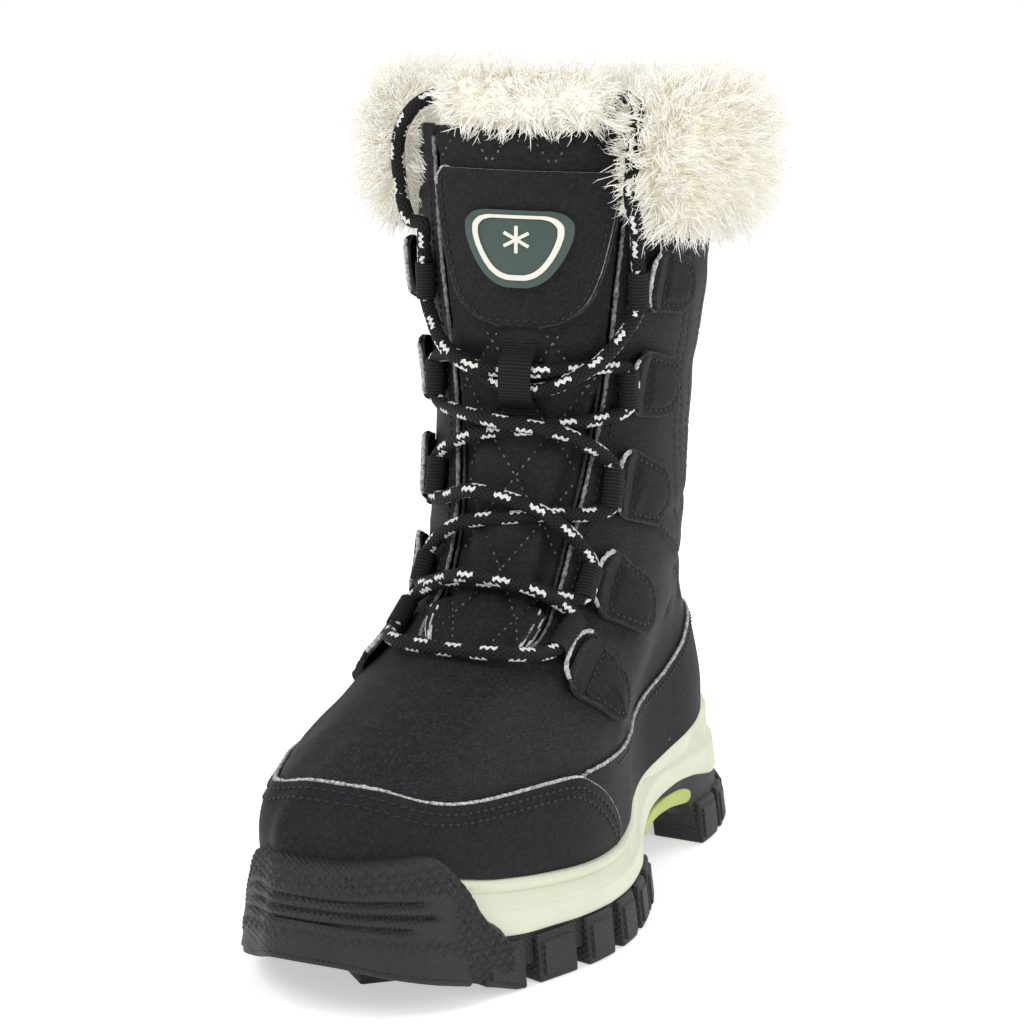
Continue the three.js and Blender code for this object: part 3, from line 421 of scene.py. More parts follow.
def to_mesh(name, bm, materials):
    mesh = bpy.data.meshes.new(name)
    bm.to_mesh(mesh)
    bm.free()
    for material in materials:
        mesh.materials.append(material)
    return mesh


def grid(name, nu, nv, place, materials, wrap_u=False, wrap_v=False, size=(1, 1)):
    """A grid moved on to a surface: place takes u and v from 0 to 1 and gives millimetres."""
    bm = bmesh.new()
    bm.loops.layers.uv.new("UVMap")
    bmesh.ops.create_grid(bm, x_segments=nu, y_segments=nv, size=1, calc_uvs=True)
    mesh = to_mesh(name, bm, materials)
    count = len(mesh.vertices)
    flat = np.empty(count * 3, np.float32)
    mesh.vertices.foreach_get("co", flat)
    uv = (flat.reshape(-1, 3)[:, :2].astype(float) + 1) / 2
    points = place(uv[:, 0], uv[:, 1])
    mesh.vertices.foreach_set("co", (points * MM).astype(np.float32).ravel())
    layer = mesh.uv_layers[0].uv
    values = np.empty(len(mesh.loops) * 2, np.float32)
    layer.foreach_get("vector", values)
    values = values.reshape(-1, 2) * np.array(size, np.float32)
    layer.foreach_set("vector", values.ravel())
    bm = bmesh.new()
    bm.from_mesh(mesh)
    if wrap_u or wrap_v:
        bmesh.ops.remove_doubles(bm, verts=bm.verts, dist=2e-6)
    rim = [e for e in bm.edges if e.is_boundary]
    if rim:
        bmesh.ops.holes_fill(bm, edges=rim, sides=0)
    bmesh.ops.recalc_face_normals(bm, faces=bm.faces)
    bm.to_mesh(mesh)
    bm.free()
    return mesh


def fold(v, rows):
    """Rows up the outside of a wall and back down its inside; the last is the first again."""
    row = np.rint(v * 2 * rows).astype(int) % (2 * rows)
    outside = row < rows
    return outside, np.where(outside, row, 2 * rows - 1 - row) / (rows - 1)


def slab(name, turns, heights, inner, outer, nu, nv, materials, closed=False, swell=None):
    """A closed layer of the upper between two distances from its form. heights gives the lower and upper
    height at a turn, and swell what the outer and inner faces stand proud there."""
    low, high = turns

    def place(u, v):
        turn = low + (high - low) * u
        outside, share = fold(v, nv)
        bottom, top = heights(turn)
        height = bottom + (top - bottom) * share
        out = np.where(outside, outer, inner) + relief(turn, height)
        if swell:
            out += np.where(outside, *swell(turn, height))
        return grown(turn, height, out)

    return grid(name, nu, nv * 2, place, materials, wrap_u=closed, wrap_v=True)


def prism(name, outline, axis, start, end, material=None):
    """A prism from an outline in side view (axis x), or in the turned shaft's front view (axis v)."""
    bm = bmesh.new()
    outline = np.asarray(outline, float)
    if axis == "x":
        points = [(start, y, z) for y, z in outline]
        move = Vector((end - start, 0, 0))
    else:
        points = [CENTRE + ACROSS * u + UP * z + FORWARD * start for u, z in outline]
        move = Vector(FORWARD * (end - start))
    verts = [bm.verts.new(Vector(p) * MM) for p in points]
    face = bm.faces.new(verts)
    moved = bmesh.ops.extrude_face_region(bm, geom=[face])
    far = [part for part in moved["geom"] if isinstance(part, bmesh.types.BMVert)]
    bmesh.ops.translate(bm, vec=move * MM, verts=far)
    bmesh.ops.recalc_face_normals(bm, faces=bm.faces)
    return to_mesh(name, bm, [material] if material else [])


def cut(mesh, cutter, operation):
    """The exact intersection or difference of two meshes; cut faces take the cutter's material."""
    a = bpy.data.objects.new("cut_a", mesh)
    b = bpy.data.objects.new("cut_b", cutter)
    for o in (a, b):
        bpy.context.scene.collection.objects.link(o)
    modifier = a.modifiers.new("cut", "BOOLEAN")
    modifier.object = b
    modifier.operation = operation
    modifier.solver = "EXACT"
    modifier.material_mode = "TRANSFER"
    bpy.context.view_layer.update()
    graph = bpy.context.evaluated_depsgraph_get()
    result = bpy.data.meshes.new_from_object(a.evaluated_get(graph))
    if len(result.polygons) == 0:
        raise RuntimeError(f"nothing is left of {mesh.name} after a cut")
    result.name = mesh.name
    for o in (a, b):
        bpy.data.objects.remove(o)
    return result


def bevelled(mesh, width, segments=2, angle=35):
    """Rounds the edges that are sharper than angle."""
    bm = bmesh.new()
    bm.from_mesh(mesh)
    bmesh.ops.remove_doubles(bm, verts=bm.verts, dist=1e-5)
    bmesh.ops.dissolve_limit(bm, angle_limit=math.radians(1.5), verts=bm.verts, edges=bm.edges)
    edges = [e for e in bm.edges if e.is_manifold and e.calc_face_angle(0) > math.radians(angle)]
    bmesh.ops.bevel(bm, geom=edges, offset=width * MM, offset_type="OFFSET", segments=segments, profile=0.5,
                    affect="EDGES", clamp_overlap=True, material=-1)
    bm.to_mesh(mesh)
    bm.free()
    return mesh


def joined(name, meshes):
    """Several meshes as one, with their materials kept."""
    materials = []
    for mesh in meshes:
        for material in mesh.materials:
            if material not in materials:
                materials.append(material)
    bm = bmesh.new()
    for mesh in meshes:
        start = len(bm.faces)
        bm.from_mesh(mesh)
        bm.faces.ensure_lookup_table()
        slots = [materials.index(m) for m in mesh.materials]
        for face in bm.faces[start:]:
            face.material_index = slots[min(face.material_index, len(slots) - 1)]
    return to_mesh(name, bm, materials)


def piece(name, mesh, replaces=(), sharp=40):
    """A finished piece of the boot."""
    mesh.name = name
    mesh.shade_smooth()
    mesh.set_sharp_from_angle(angle=math.radians(sharp))
    obj = bpy.data.objects.new(name, mesh)
    bpy.context.scene.collection.objects.link(obj)
    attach(obj, "root")
    if replaces:
        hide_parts(*replaces)
    return obj


def carried_frames(path, start):
    """Two directions square to a path, turned as little as possible along it."""
    tangents = np.gradient(path, axis=0)
    tangents /= np.linalg.norm(tangents, axis=1, keepdims=True)
    frames = [np.asarray(start, float)]
    for tangent in tangents:
        side = frames[-1] - tangent * (frames[-1] @ tangent)
        frames.append(side / np.linalg.norm(side))
    first = np.array(frames[1:])
    return first, np.cross(tangents, first)


def sweep(name, path, first, second, profile, materials, scale=None):
    """A closed profile carried along a path, with UVs in millimetres: round it and along it."""
    steps = len(path) - 1
    sides = len(profile)
    length = np.linalg.norm(np.diff(path, axis=0), axis=1).sum()
    girth = np.linalg.norm(profile - np.roll(profile, 1, axis=0), axis=1).sum()
    scale = np.ones((steps + 1, 2)) if scale is None else scale

    def place(u, v):
        i = np.rint(v * steps).astype(int)
        k = np.rint(u * sides).astype(int) % sides
        return (path[i] + first[i] * (profile[k, 0] * scale[i, 0])[:, None]
                + second[i] * (profile[k, 1] * scale[i, 1])[:, None])

    return grid(name, sides, steps, place, materials, wrap_u=True, size=(girth, length))


def circle(radius, sides):
    angles = np.arange(sides) / sides * 2 * math.pi
    return radius * np.stack([np.cos(angles), np.sin(angles)], -1)


def tube(name, points, radius, sides, step, materials):
    """A round cord along points."""
    path = even(np.asarray(points), step=step)
    first, second = carried_frames(path, np.cross(path[1] - path[0], [0.3, 0.2, 0.9]))
    return sweep(name, path, first, second, circle(radius, sides), materials)


def scattered(name, template, count, place, materials):
    """Many copies of one small shape. place takes the template's vertices and gives those of every copy."""
    mesh = to_mesh(name, template, materials)
    flat = np.empty(len(mesh.vertices) * 3, np.float32)
    mesh.vertices.foreach_get("co", flat)
    shape = flat.reshape(-1, 3).astype(float)
    holder = bpy.data.objects.new(name, mesh)
    bpy.context.scene.collection.objects.link(holder)
    repeat = holder.modifiers.new("repeat", "ARRAY")
    repeat.count = count
    repeat.use_relative_offset = False
    repeat.use_constant_offset = True
    repeat.constant_offset_displace = (0, 0, 0)
    bpy.context.view_layer.update()
    graph = bpy.context.evaluated_depsgraph_get()
    result = bpy.data.meshes.new_from_object(holder.evaluated_get(graph))
    bpy.data.objects.remove(holder)
    if len(result.vertices) != count * len(shape):
        raise RuntimeError(f"{name}: {len(result.vertices)} points for {count} copies")
    result.vertices.foreach_set("co", (place(shape) * MM).astype(np.float32).ravel())
    result.update()
    return result


# Shader groups and materials

def socket(group, name, kind, way, value=None):
    made = group.interface.new_socket(name=name, in_out=way, socket_type=kind)
    if value is not None:
        made.default_value = value
    return made


def node(tree, kind, **settings):
    made = tree.nodes.new(kind)
    for key, value in settings.items():
        setattr(made, key, value)
    return made


def maths(tree, operation, a, b=None):
    made = node(tree, "ShaderNodeMath", operation=operation)
    for i, value in enumerate((a, b)):
        if value is None:
            continue
        if isinstance(value, (int, float)):
            made.inputs[i].default_value = value
        else:
            tree.links.new(value, made.inputs[i])
    return made.outputs[0]


# Colour of the pale dust in the grain of cloth and leather.
DUST = (0.5, 0.49, 0.46)


def grain_group():
    """Fine pebbled grain with broader wrinkles, for coated cloth and leather."""
    group = bpy.data.node_groups.new("fine_grain", "ShaderNodeTree")
    socket(group, "Vector", "NodeSocketVector", "INPUT")
    socket(group, "Scale", "NodeSocketFloat", "INPUT", 900.0)
    socket(group, "Stretch", "NodeSocketFloat", "INPUT", 1.0)
    socket(group, "Height", "NodeSocketFloat", "OUTPUT")
    socket(group, "Patches", "NodeSocketFloat", "OUTPUT")
    start = node(group, "NodeGroupInput")
    end = node(group, "NodeGroupOutput")
    cells = node(group, "ShaderNodeTexVoronoi", feature="DISTANCE_TO_EDGE")
    group.links.new(start.outputs["Vector"], cells.inputs["Vector"])
    group.links.new(start.outputs["Scale"], cells.inputs["Scale"])
    wrinkles = node(group, "ShaderNodeTexNoise", noise_dimensions="3D")
    group.links.new(start.outputs["Vector"], wrinkles.inputs["Vector"])
    group.links.new(maths(group, "MULTIPLY", start.outputs["Scale"], 0.45), wrinkles.inputs["Scale"])
    wrinkles.inputs["Detail"].default_value = 4
    group.links.new(start.outputs["Stretch"], wrinkles.inputs["Distortion"])
    patches = node(group, "ShaderNodeTexNoise", noise_dimensions="3D")
    group.links.new(start.outputs["Vector"], patches.inputs["Vector"])
    patches.inputs["Scale"].default_value = 26
    patches.inputs["Detail"].default_value = 5
    height = maths(group, "ADD", maths(group, "MULTIPLY", cells.outputs["Distance"], 1.2),
                   maths(group, "MULTIPLY", wrinkles.outputs[0], 0.8))
    group.links.new(height, end.inputs["Height"])
    group.links.new(patches.outputs[0], end.inputs["Patches"])
    return group


def dust_group():
    """Sparse pale specks and lint."""
    group = bpy.data.node_groups.new("specks", "ShaderNodeTree")
    socket(group, "Vector", "NodeSocketVector", "INPUT")
    socket(group, "Amount", "NodeSocketFloat", "INPUT", 0.03)
    socket(group, "Mask", "NodeSocketFloat", "OUTPUT")
    start = node(group, "NodeGroupInput")
    end = node(group, "NodeGroupOutput")
    cells = node(group, "ShaderNodeTexVoronoi", feature="F1")
    cells.inputs["Scale"].default_value = 260
    group.links.new(start.outputs["Vector"], cells.inputs["Vector"])
    near = maths(group, "LESS_THAN", cells.outputs["Distance"], 0.075)
    split = node(group, "ShaderNodeSeparateColor")
    group.links.new(cells.outputs["Color"], split.inputs[0])
    chosen = maths(group, "LESS_THAN", split.outputs[0], start.outputs["Amount"])
    group.links.new(maths(group, "MULTIPLY", near, chosen), end.inputs["Mask"])
    return group


GROUPS = {}


def shared(name):
    if name not in GROUPS:
        GROUPS[name] = {"grain": grain_group, "specks": dust_group}[name]()
    return GROUPS[name]


def new_material(name, color, roughness, **sockets):
    material = bpy.data.materials.new(name)
    material.use_nodes = True
    shader = material.node_tree.nodes["Principled BSDF"]
    shader.inputs["Base Color"].default_value = (*color, 1)
    shader.inputs["Roughness"].default_value = roughness
    for key, value in sockets.items():
        shader.inputs[key.replace("_", " ")].default_value = value
    return material, material.node_tree, shader


def mixed(tree, factor, a, b):
    """Two colours mixed by a factor; each may be a colour or a socket."""
    mix = node(tree, "ShaderNodeMix", data_type="RGBA")
    for value, target in ((factor, mix.inputs[0]), (a, mix.inputs[6]), (b, mix.inputs[7])):
        if isinstance(value, bpy.types.NodeSocket):
            tree.links.new(value, target)
        elif isinstance(value, (int, float)):
            target.default_value = value
        else:
            target.default_value = (*value, 1)
    return mix.outputs[2]


def bump(tree, shader, height, distance, strength=1.0):
    made = node(tree, "ShaderNodeBump")
    made.inputs["Distance"].default_value = distance
    made.inputs["Strength"].default_value = strength
    tree.links.new(height, made.inputs["Height"])
    tree.links.new(made.outputs[0], shader.inputs["Normal"])


def coords(tree, output="Object"):
    return node(tree, "ShaderNodeTexCoord").outputs[output]


def spread(tree, value, low, high, to_low, to_high):
    made = node(tree, "ShaderNodeMapRange")
    tree.links.new(value, made.inputs[0])
    for i, number in enumerate((low, high, to_low, to_high)):
        made.inputs[i + 1].default_value = number
    return made.outputs[0]


def grained(name, dark, light, roughness, scale, depth, stretch=1.0, specks=0.03, flat=1.0, **sockets):
    """Matte coated cloth or leather; flat below one draws the grain out sideways, as woven threads are. The
    raised grain is painted much lighter: a painted highlight on the tops of the grain.
    """
    material, tree, shader = new_material(name, dark, roughness, **sockets)
    turned = node(tree, "ShaderNodeMapping")
    turned.inputs["Scale"].default_value = (flat, flat, 1)
    tree.links.new(coords(tree), turned.inputs["Vector"])
    place = turned.outputs[0]
    grain = node(tree, "ShaderNodeGroup", node_tree=shared("grain"))
    tree.links.new(place, grain.inputs["Vector"])
    grain.inputs["Scale"].default_value = scale
    grain.inputs["Stretch"].default_value = stretch
    dots = node(tree, "ShaderNodeGroup", node_tree=shared("specks"))
    tree.links.new(place, dots.inputs["Vector"])
    dots.inputs["Amount"].default_value = specks
    shade = mixed(tree, spread(tree, grain.outputs["Patches"], 0.35, 0.7, 0, 1), dark, light)
    # Painted highlight: the raised grain is painted much lighter than the rest, as where light catches its
    # tops.
    raised = mixed(tree, spread(tree, grain.outputs["Height"], 0.45, 0.9, 0, 0.7), shade,
                   tuple(min(1, c * 2.2 + 0.004) for c in light))
    dust = maths(tree, "MULTIPLY", dots.outputs["Mask"], 0.55)
    tree.links.new(mixed(tree, dust, raised, DUST), shader.inputs["Base Color"])
    tree.links.new(spread(tree, grain.outputs["Patches"], 0.3, 0.7, roughness - 0.06, roughness + 0.06),
                   shader.inputs["Roughness"])
    bump(tree, shader, grain.outputs["Height"], depth * MM)
    return material


def fuzzy(name, color, shade, scale, depth, roughness=0.95):
    """Raw cut edges, fleece and felt."""
    material, tree, shader = new_material(name, color, roughness)
    noise = node(tree, "ShaderNodeTexNoise")
    noise.inputs["Scale"].default_value = scale
    noise.inputs["Detail"].default_value = 6
    noise.inputs["Roughness"].default_value = 0.7
    tree.links.new(coords(tree), noise.inputs["Vector"])
    tree.links.new(mixed(tree, spread(tree, noise.outputs[0], 0.35, 0.65, 0, 1), shade, color),
                   shader.inputs["Base Color"])
    bump(tree, shader, noise.outputs[0], depth * MM)
    return material


def lace_material(name, black, white):
    """Braided round cord with pairs of pale zigzag flecks; UVs are millimetres round and along it. The braid
    is painted darker in its grooves and lighter on its ridges: painted shade and painted highlight.
    """
    material, tree, shader = new_material(name, black, 0.65, Specular_IOR_Level=0.25)
    split = node(tree, "ShaderNodeSeparateXYZ")
    tree.links.new(coords(tree, "UV"), split.inputs[0])
    u, v = split.outputs[0], split.outputs[1]
    zig = maths(tree, "PINGPONG", v, 1.0)
    flecks = None
    for start, shift in ((2.0, 0.0), (4.6, 2.6), (9.3, 5.6), (11.8, 8.2)):
        along = maths(tree, "MODULO", maths(tree, "ADD", v, 100 + shift), 11.4)
        inside = maths(tree, "LESS_THAN", along, 5.2)
        across = maths(tree, "SUBTRACT", maths(tree, "ABSOLUTE", maths(
            tree, "SUBTRACT", maths(tree, "ADD", u, maths(tree, "MULTIPLY", zig, 0.9)), start + 0.7)), 0.72)
        mark = maths(tree, "MULTIPLY", inside, maths(tree, "LESS_THAN", across, 0))
        flecks = mark if flecks is None else maths(tree, "MAXIMUM", flecks, mark)
    turns = 2 * math.pi / (2 * math.pi * LACE_RADIUS)
    rising = maths(tree, "SINE", maths(tree, "ADD", maths(tree, "MULTIPLY", u, 8 * turns),
                                       maths(tree, "MULTIPLY", v, 3.4)))
    falling = maths(tree, "SINE", maths(tree, "SUBTRACT", maths(tree, "MULTIPLY", u, 8 * turns),
                                        maths(tree, "MULTIPLY", v, 3.4)))
    braid = maths(tree, "MAXIMUM", rising, falling)
    # Painted shade and highlight: the cord's colour follows the braid's height, dark in the grooves and light
    # on the ridges.
    base = mixed(tree, spread(tree, braid, 0.2, 1.0, 0, 1), tuple(c * 0.35 for c in black),
                 tuple(c * 1.7 for c in black))
    tree.links.new(mixed(tree, flecks, base, white), shader.inputs["Base Color"])
    bump(tree, shader, maths(tree, "ADD", braid, maths(tree, "MULTIPLY", flecks, 0.8)), 0.32 * MM)
    return material


def webbing_material(name, color, pitch):
    """Ribbed webbing; ribs run along the V of the piece's UVs, which are millimetres. The ribs are painted
    lighter and the grooves between them darker: painted highlight and painted shade.
    """
    material, tree, shader = new_material(name, color, 0.7, Specular_IOR_Level=0.25)
    split = node(tree, "ShaderNodeSeparateXYZ")
    tree.links.new(coords(tree, "UV"), split.inputs[0])
    rib = maths(tree, "SINE", maths(tree, "MULTIPLY", split.outputs[1], 2 * math.pi / pitch))
    weave = maths(tree, "SINE", maths(tree, "MULTIPLY", split.outputs[0], 2 * math.pi / 0.5))
    height = maths(tree, "ADD", rib, maths(tree, "MULTIPLY", weave, 0.35))
    # Painted highlight and shade: the colour follows the rib height, light on the ribs and dark between them.
    tree.links.new(mixed(tree, spread(tree, height, -0.8, 1.2, 0, 1), tuple(c * 0.35 for c in color),
                         tuple(c * 2.4 for c in color)), shader.inputs["Base Color"])
    bump(tree, shader, height, 0.3 * MM)
    return material


def moulded(name, color, soil, roughness, grain, depth, amount=0.35, tooth=0.0, **sockets):
    """Moulded rubber, foam or plastic with a fine grain and faint soiling; tooth adds a crossed knurl."""
    material, tree, shader = new_material(name, color, roughness, **sockets)
    place = coords(tree)
    fine = node(tree, "ShaderNodeTexNoise")
    fine.inputs["Scale"].default_value = grain
    fine.inputs["Detail"].default_value = 3
    tree.links.new(place, fine.inputs["Vector"])
    broad = node(tree, "ShaderNodeTexNoise")
    broad.inputs["Scale"].default_value = 38
    broad.inputs["Detail"].default_value = 6
    tree.links.new(place, broad.inputs["Vector"])
    tree.links.new(mixed(tree, spread(tree, broad.outputs[0], 0.45, 0.75, 0, amount), color, soil),
                   shader.inputs["Base Color"])
    tree.links.new(spread(tree, broad.outputs[0], 0.3, 0.7, roughness - 0.08, roughness + 0.08),
                   shader.inputs["Roughness"])
    height = fine.outputs[0]
    if tooth:
        split = node(tree, "ShaderNodeSeparateXYZ")
        tree.links.new(place, split.inputs[0])
        across = maths(tree, "ADD", split.outputs[0], split.outputs[1])
        ridges = [maths(tree, "SINE", maths(tree, "MULTIPLY", maths(tree, way, across, split.outputs[2]),
                                            2 * math.pi / KNURL_PITCH)) for way in ("ADD", "SUBTRACT")]
        height = maths(tree, "ADD", height, maths(tree, "MULTIPLY", maths(tree, "MINIMUM", *ridges), tooth))
    bump(tree, shader, height, depth * MM)
    return material


def fur_material(name, root, tip):
    """Pile that is darker and warmer at the root, painted shade deep in the pile, and glows faintly, painted
    light; the strands' V runs from root to tip.
    """
    # The emission is painted light: the pile glows faintly, standing in for light that passes through its
    # hairs.
    material, tree, shader = new_material(name, tip, 0.75, Sheen_Weight=0.5, Sheen_Roughness=0.4,
                                          Emission_Color=(*tip, 1), Emission_Strength=FUR_GLOW)
    split = node(tree, "ShaderNodeSeparateXYZ")
    tree.links.new(coords(tree, "UV"), split.inputs[0])
    noise = node(tree, "ShaderNodeTexNoise")
    noise.inputs["Scale"].default_value = 60
    tree.links.new(coords(tree), noise.inputs["Vector"])
    share = maths(tree, "ADD", split.outputs[1], maths(tree, "MULTIPLY", noise.outputs[0], 0.35))
    # Painted shade: the colour runs from the darker, warmer root up to the tip.
    tree.links.new(mixed(tree, spread(tree, share, 0.15, 0.85, 0, 1), root, tip), shader.inputs["Base Color"])
    return material


# Finishes

FINISH = {}


def make_finishes(colours):
    """Every material of the boot, by a maker's name for it."""
    black = tuple(colours.upper)
    light = tuple(c * 1.9 for c in black)
    # Lighter tone of the cloth: it gives the random patches and the base of the painted highlight on the
    # raised grain.
    cloth_lighter_tone = tuple(c * 1.2 for c in light)
    FINISH["cloth"] = grained("coated_cloth", black, cloth_lighter_tone, 0.62, 2000, 0.3, 1.5, 0.03, 0.3,
                              Specular_IOR_Level=0.17)
    FINISH["leather"] = grained("overlay_leather", black, light, 0.6, 1700, 0.16, 0.6, 0.02, 0.8,
                                Specular_IOR_Level=0.12)
    FINISH["quilt"] = grained("tongue_cloth", black, light, 0.7, 1900, 0.25, 0.4, 0.015, 0.6,
                              Specular_IOR_Level=0.16)
    FINISH["edge"] = fuzzy("raw_edge", (0.78, 0.78, 0.76), (0.1, 0.1, 0.1), 900, 0.4)
    # Grey cut edges of the black overlays: partly the edge's own grey, partly painted highlight along the
    # rounded rims.
    FINISH["dark_edge"] = fuzzy("grey_edge_and_rim_highlight", (0.05, 0.05, 0.05), (0.006, 0.006, 0.006), 900, 0.3)
    FINISH["grey_edge"] = fuzzy("lining_edge", (0.34, 0.34, 0.33), (0.03, 0.03, 0.03), 700, 0.4)
    shaded_fur = tuple(c * 0.72 for c in colours.fur)
    FINISH["fleece"] = fuzzy("fleece_lining", tuple(colours.fur), shaded_fur, 420, 1.6)
    FINISH["board"] = fuzzy("insole_felt", (0.62, 0.58, 0.48), (0.45, 0.41, 0.33), 700, 0.3)
    FINISH["thread"] = fuzzy("sewing_thread", (0.012, 0.012, 0.013), (0.003, 0.003, 0.003), 2500, 0.1, 0.5)
    # Dark quilting thread: its random bright patches are painted glints.
    FINISH["pale_thread"] = fuzzy("quilting_thread", (0.2, 0.2, 0.19), (0.004, 0.004, 0.004), 150, 0.1, 0.6)
    FINISH["lint"] = fuzzy("lining_lint", (0.8, 0.8, 0.78), (0.02, 0.02, 0.02), 260, 0.6)
    FINISH["lace"] = lace_material("braided_lace", (0.008, 0.008, 0.009), (0.86, 0.86, 0.84))
    FINISH["webbing"] = webbing_material("loop_webbing", (0.011, 0.011, 0.012), 1.1)
    FINISH["rubber"] = moulded("outsole_rubber", (0.012, 0.0125, 0.014), (0.04, 0.04, 0.04), 0.55, 1500, 0.2,
                               tooth=0.5, Specular_IOR_Level=0.4)
    FINISH["foam"] = moulded("midsole_foam", tuple(colours.midsole), (0.46, 0.46, 0.33), 0.5, 700, 0.05, 0.3)
    FINISH["lime"] = moulded("arch_rubber", tuple(colours.accent), (0.26, 0.31, 0.06), 0.45, 900, 0.05)
    FINISH["badge"] = moulded("badge_plastic", (0.04, 0.066, 0.056), (0.06, 0.085, 0.076), 0.45, 2200, 0.06)
    FINISH["rim"] = moulded("badge_rim", (0.72, 0.7, 0.62), (0.5, 0.48, 0.4), 0.5, 1200, 0.04)
    tip = tuple(colours.fur)
    # The darker, warmer root colour is painted shade deep in the pile.
    FINISH["fur"] = fur_material("collar_pile", (tip[0] * 0.92, tip[1] * 0.88, tip[2] * 0.77), tip)


# Sole

PERIMETER = np.linalg.norm(np.diff(np.vstack([FOOT, FOOT[:1]]), axis=0), axis=1).sum()


def at_along(share):
    return (share * 2 - 1) * HALF


def side_line(rows):
    y = np.linspace(-HALF * 1.1, HALF * 1.1, SIDE_LINE_POINTS)
    return np.stack([y, line_height(rows, y)], -1)


def sole_block(name, grow, material, count=240):
    """The sole's outline raised to a leaning block."""
    bm = bmesh.new()
    turns = np.arange(count) / count
    low = sole_point(turns, -GAP, grow) * MM
    high = sole_point(turns, HEEL_HEIGHT * 1.2, grow) * MM
    face = bm.faces.new([bm.verts.new(Vector(p)) for p in low])
    moved = bmesh.ops.extrude_face_region(bm, geom=[face])
    for vert in moved["geom"]:
        if isinstance(vert, bmesh.types.BMVert):
            nearest = int(np.argmin(np.abs(low - np.array(vert.co)).sum(1)))
            vert.co = Vector(high[nearest])
    bmesh.ops.recalc_face_normals(bm, faces=bm.faces)
    return to_mesh(name, bm, [material])


def side_slab(name, low, high, material=None):
    return prism(name, [*low, *high[::-1]], "x", -BALL_WIDTH, BALL_WIDTH, material)


def make_lug(y0, y1, sign, material):
    """One lug of the edge: a bevelled block with a raised side panel, bent along the outline."""
    start = abs(float(sole_turn(y0, 1 if sign == 0 else sign))) * PERIMETER * (-1 if sign == 0 else 1)
    end = abs(float(sole_turn(y1, 1 if sign == 0 else sign))) * PERIMETER
    length = end - start
    top = LUG_TOP * HEEL_HEIGHT
    bm = bmesh.new()
    bmesh.ops.create_cube(bm, size=1)
    bmesh.ops.scale(bm, vec=(length, LUG_DEPTH + LUG_PROUD, top), verts=bm.verts)
    middle = (start + length / 2, LUG_PROUD - (LUG_DEPTH + LUG_PROUD) / 2, top / 2)
    bmesh.ops.translate(bm, vec=middle, verts=bm.verts)
    bmesh.ops.bevel(bm, geom=bm.edges[:], offset=0.9, offset_type="OFFSET", segments=2, profile=0.5,
                    affect="EDGES", material=-1)
    bm.faces.ensure_lookup_table()
    outer = max(bm.faces, key=lambda f: f.normal.y * f.calc_area())
    bmesh.ops.inset_region(bm, faces=[outer], thickness=1.5, depth=0)
    bmesh.ops.inset_region(bm, faces=[outer], thickness=0.5, depth=0.8)
    cuts = max(1, int(length / 4))
    for i in range(1, cuts):
        bmesh.ops.bisect_plane(bm, geom=bm.verts[:] + bm.edges[:] + bm.faces[:],
                               plane_co=(start + length * i / cuts, 0, 0), plane_no=(1, 0, 0))
    co = np.array([v.co for v in bm.verts])
    turn = co[:, 0] / PERIMETER * (1 if sign == 0 else sign)
    y = sole_point(turn, 0, 0)[:, 1]
    ground = np.maximum(line_height(UNDERSIDE, y), 0)
    points = sole_point(turn, co[:, 2] + ground, co[:, 1])
    for vert, point in zip(bm.verts, points):
        vert.co = Vector(point) * MM
    bmesh.ops.recalc_face_normals(bm, faces=bm.faces)
    return to_mesh("lug", bm, [material])


def make_outsole():
    rubber = FINISH["rubber"]
    under = [(at_along(a), h * HEEL_HEIGHT + TREAD_DEPTH) for a, h in UNDERSIDE]
    slice_of_side = side_slab("plate_cut", under, list(side_line(OUTSOLE_TOP)), rubber)
    plate = cut(sole_block("plate", 0.0, rubber), slice_of_side, "INTERSECT")
    parts = [bevelled(plate, 0.5, 2, 40)]
    lugs = []
    edges = [(g, g + LUG_GAP / SOLE_LENGTH) for g in LUG_GAPS]
    edges.insert(6, (0.548, 0.774))
    previous = edges[0][1]
    lugs.append((edges[0][0], edges[0][0], 0))
    for low, high in edges[1:]:
        lugs += [(previous, low, 1), (previous, low, -1)]
        previous = high
    lugs += [(previous, 0.995, 1), (previous, 0.995, -1)]
    for low, high, sign in lugs:
        parts.append(make_lug(at_along(low), at_along(high), sign, rubber))
    for along, side in CENTRE_LUGS:
        bm = bmesh.new()
        y = at_along(along)
        bmesh.ops.create_cone(bm, cap_ends=True, segments=4, radius1=12 * MM, radius2=11 * MM, depth=11 * MM)
        bmesh.ops.translate(bm, vec=Vector((side * BALL_WIDTH + FOOT_OFFSET, y, 5.5)) * MM, verts=bm.verts)
        bmesh.ops.bevel(bm, geom=bm.edges[:], offset=0.9 * MM, offset_type="OFFSET", segments=2, profile=0.5,
                        affect="EDGES", material=-1)
        parts.append(to_mesh("centre_lug", bm, [rubber]))
    arch_low = [(at_along(a), h * HEEL_HEIGHT) for a, h in UNDERSIDE[8:14]]
    arch_high = [(at_along(a), h) for a, h in ARCH_TOP]
    arch_slice = side_slab("arch_rubber_cut", arch_low, arch_high, rubber)
    parts.append(cut(sole_block("arch_rubber", -3.0, rubber), arch_slice, "INTERSECT"))
    parts.append(make_bumper(rubber))
    mesh = joined("outsole_rubber", parts)
    return piece("outsole_dressed", mesh, ["outsole"], 45)


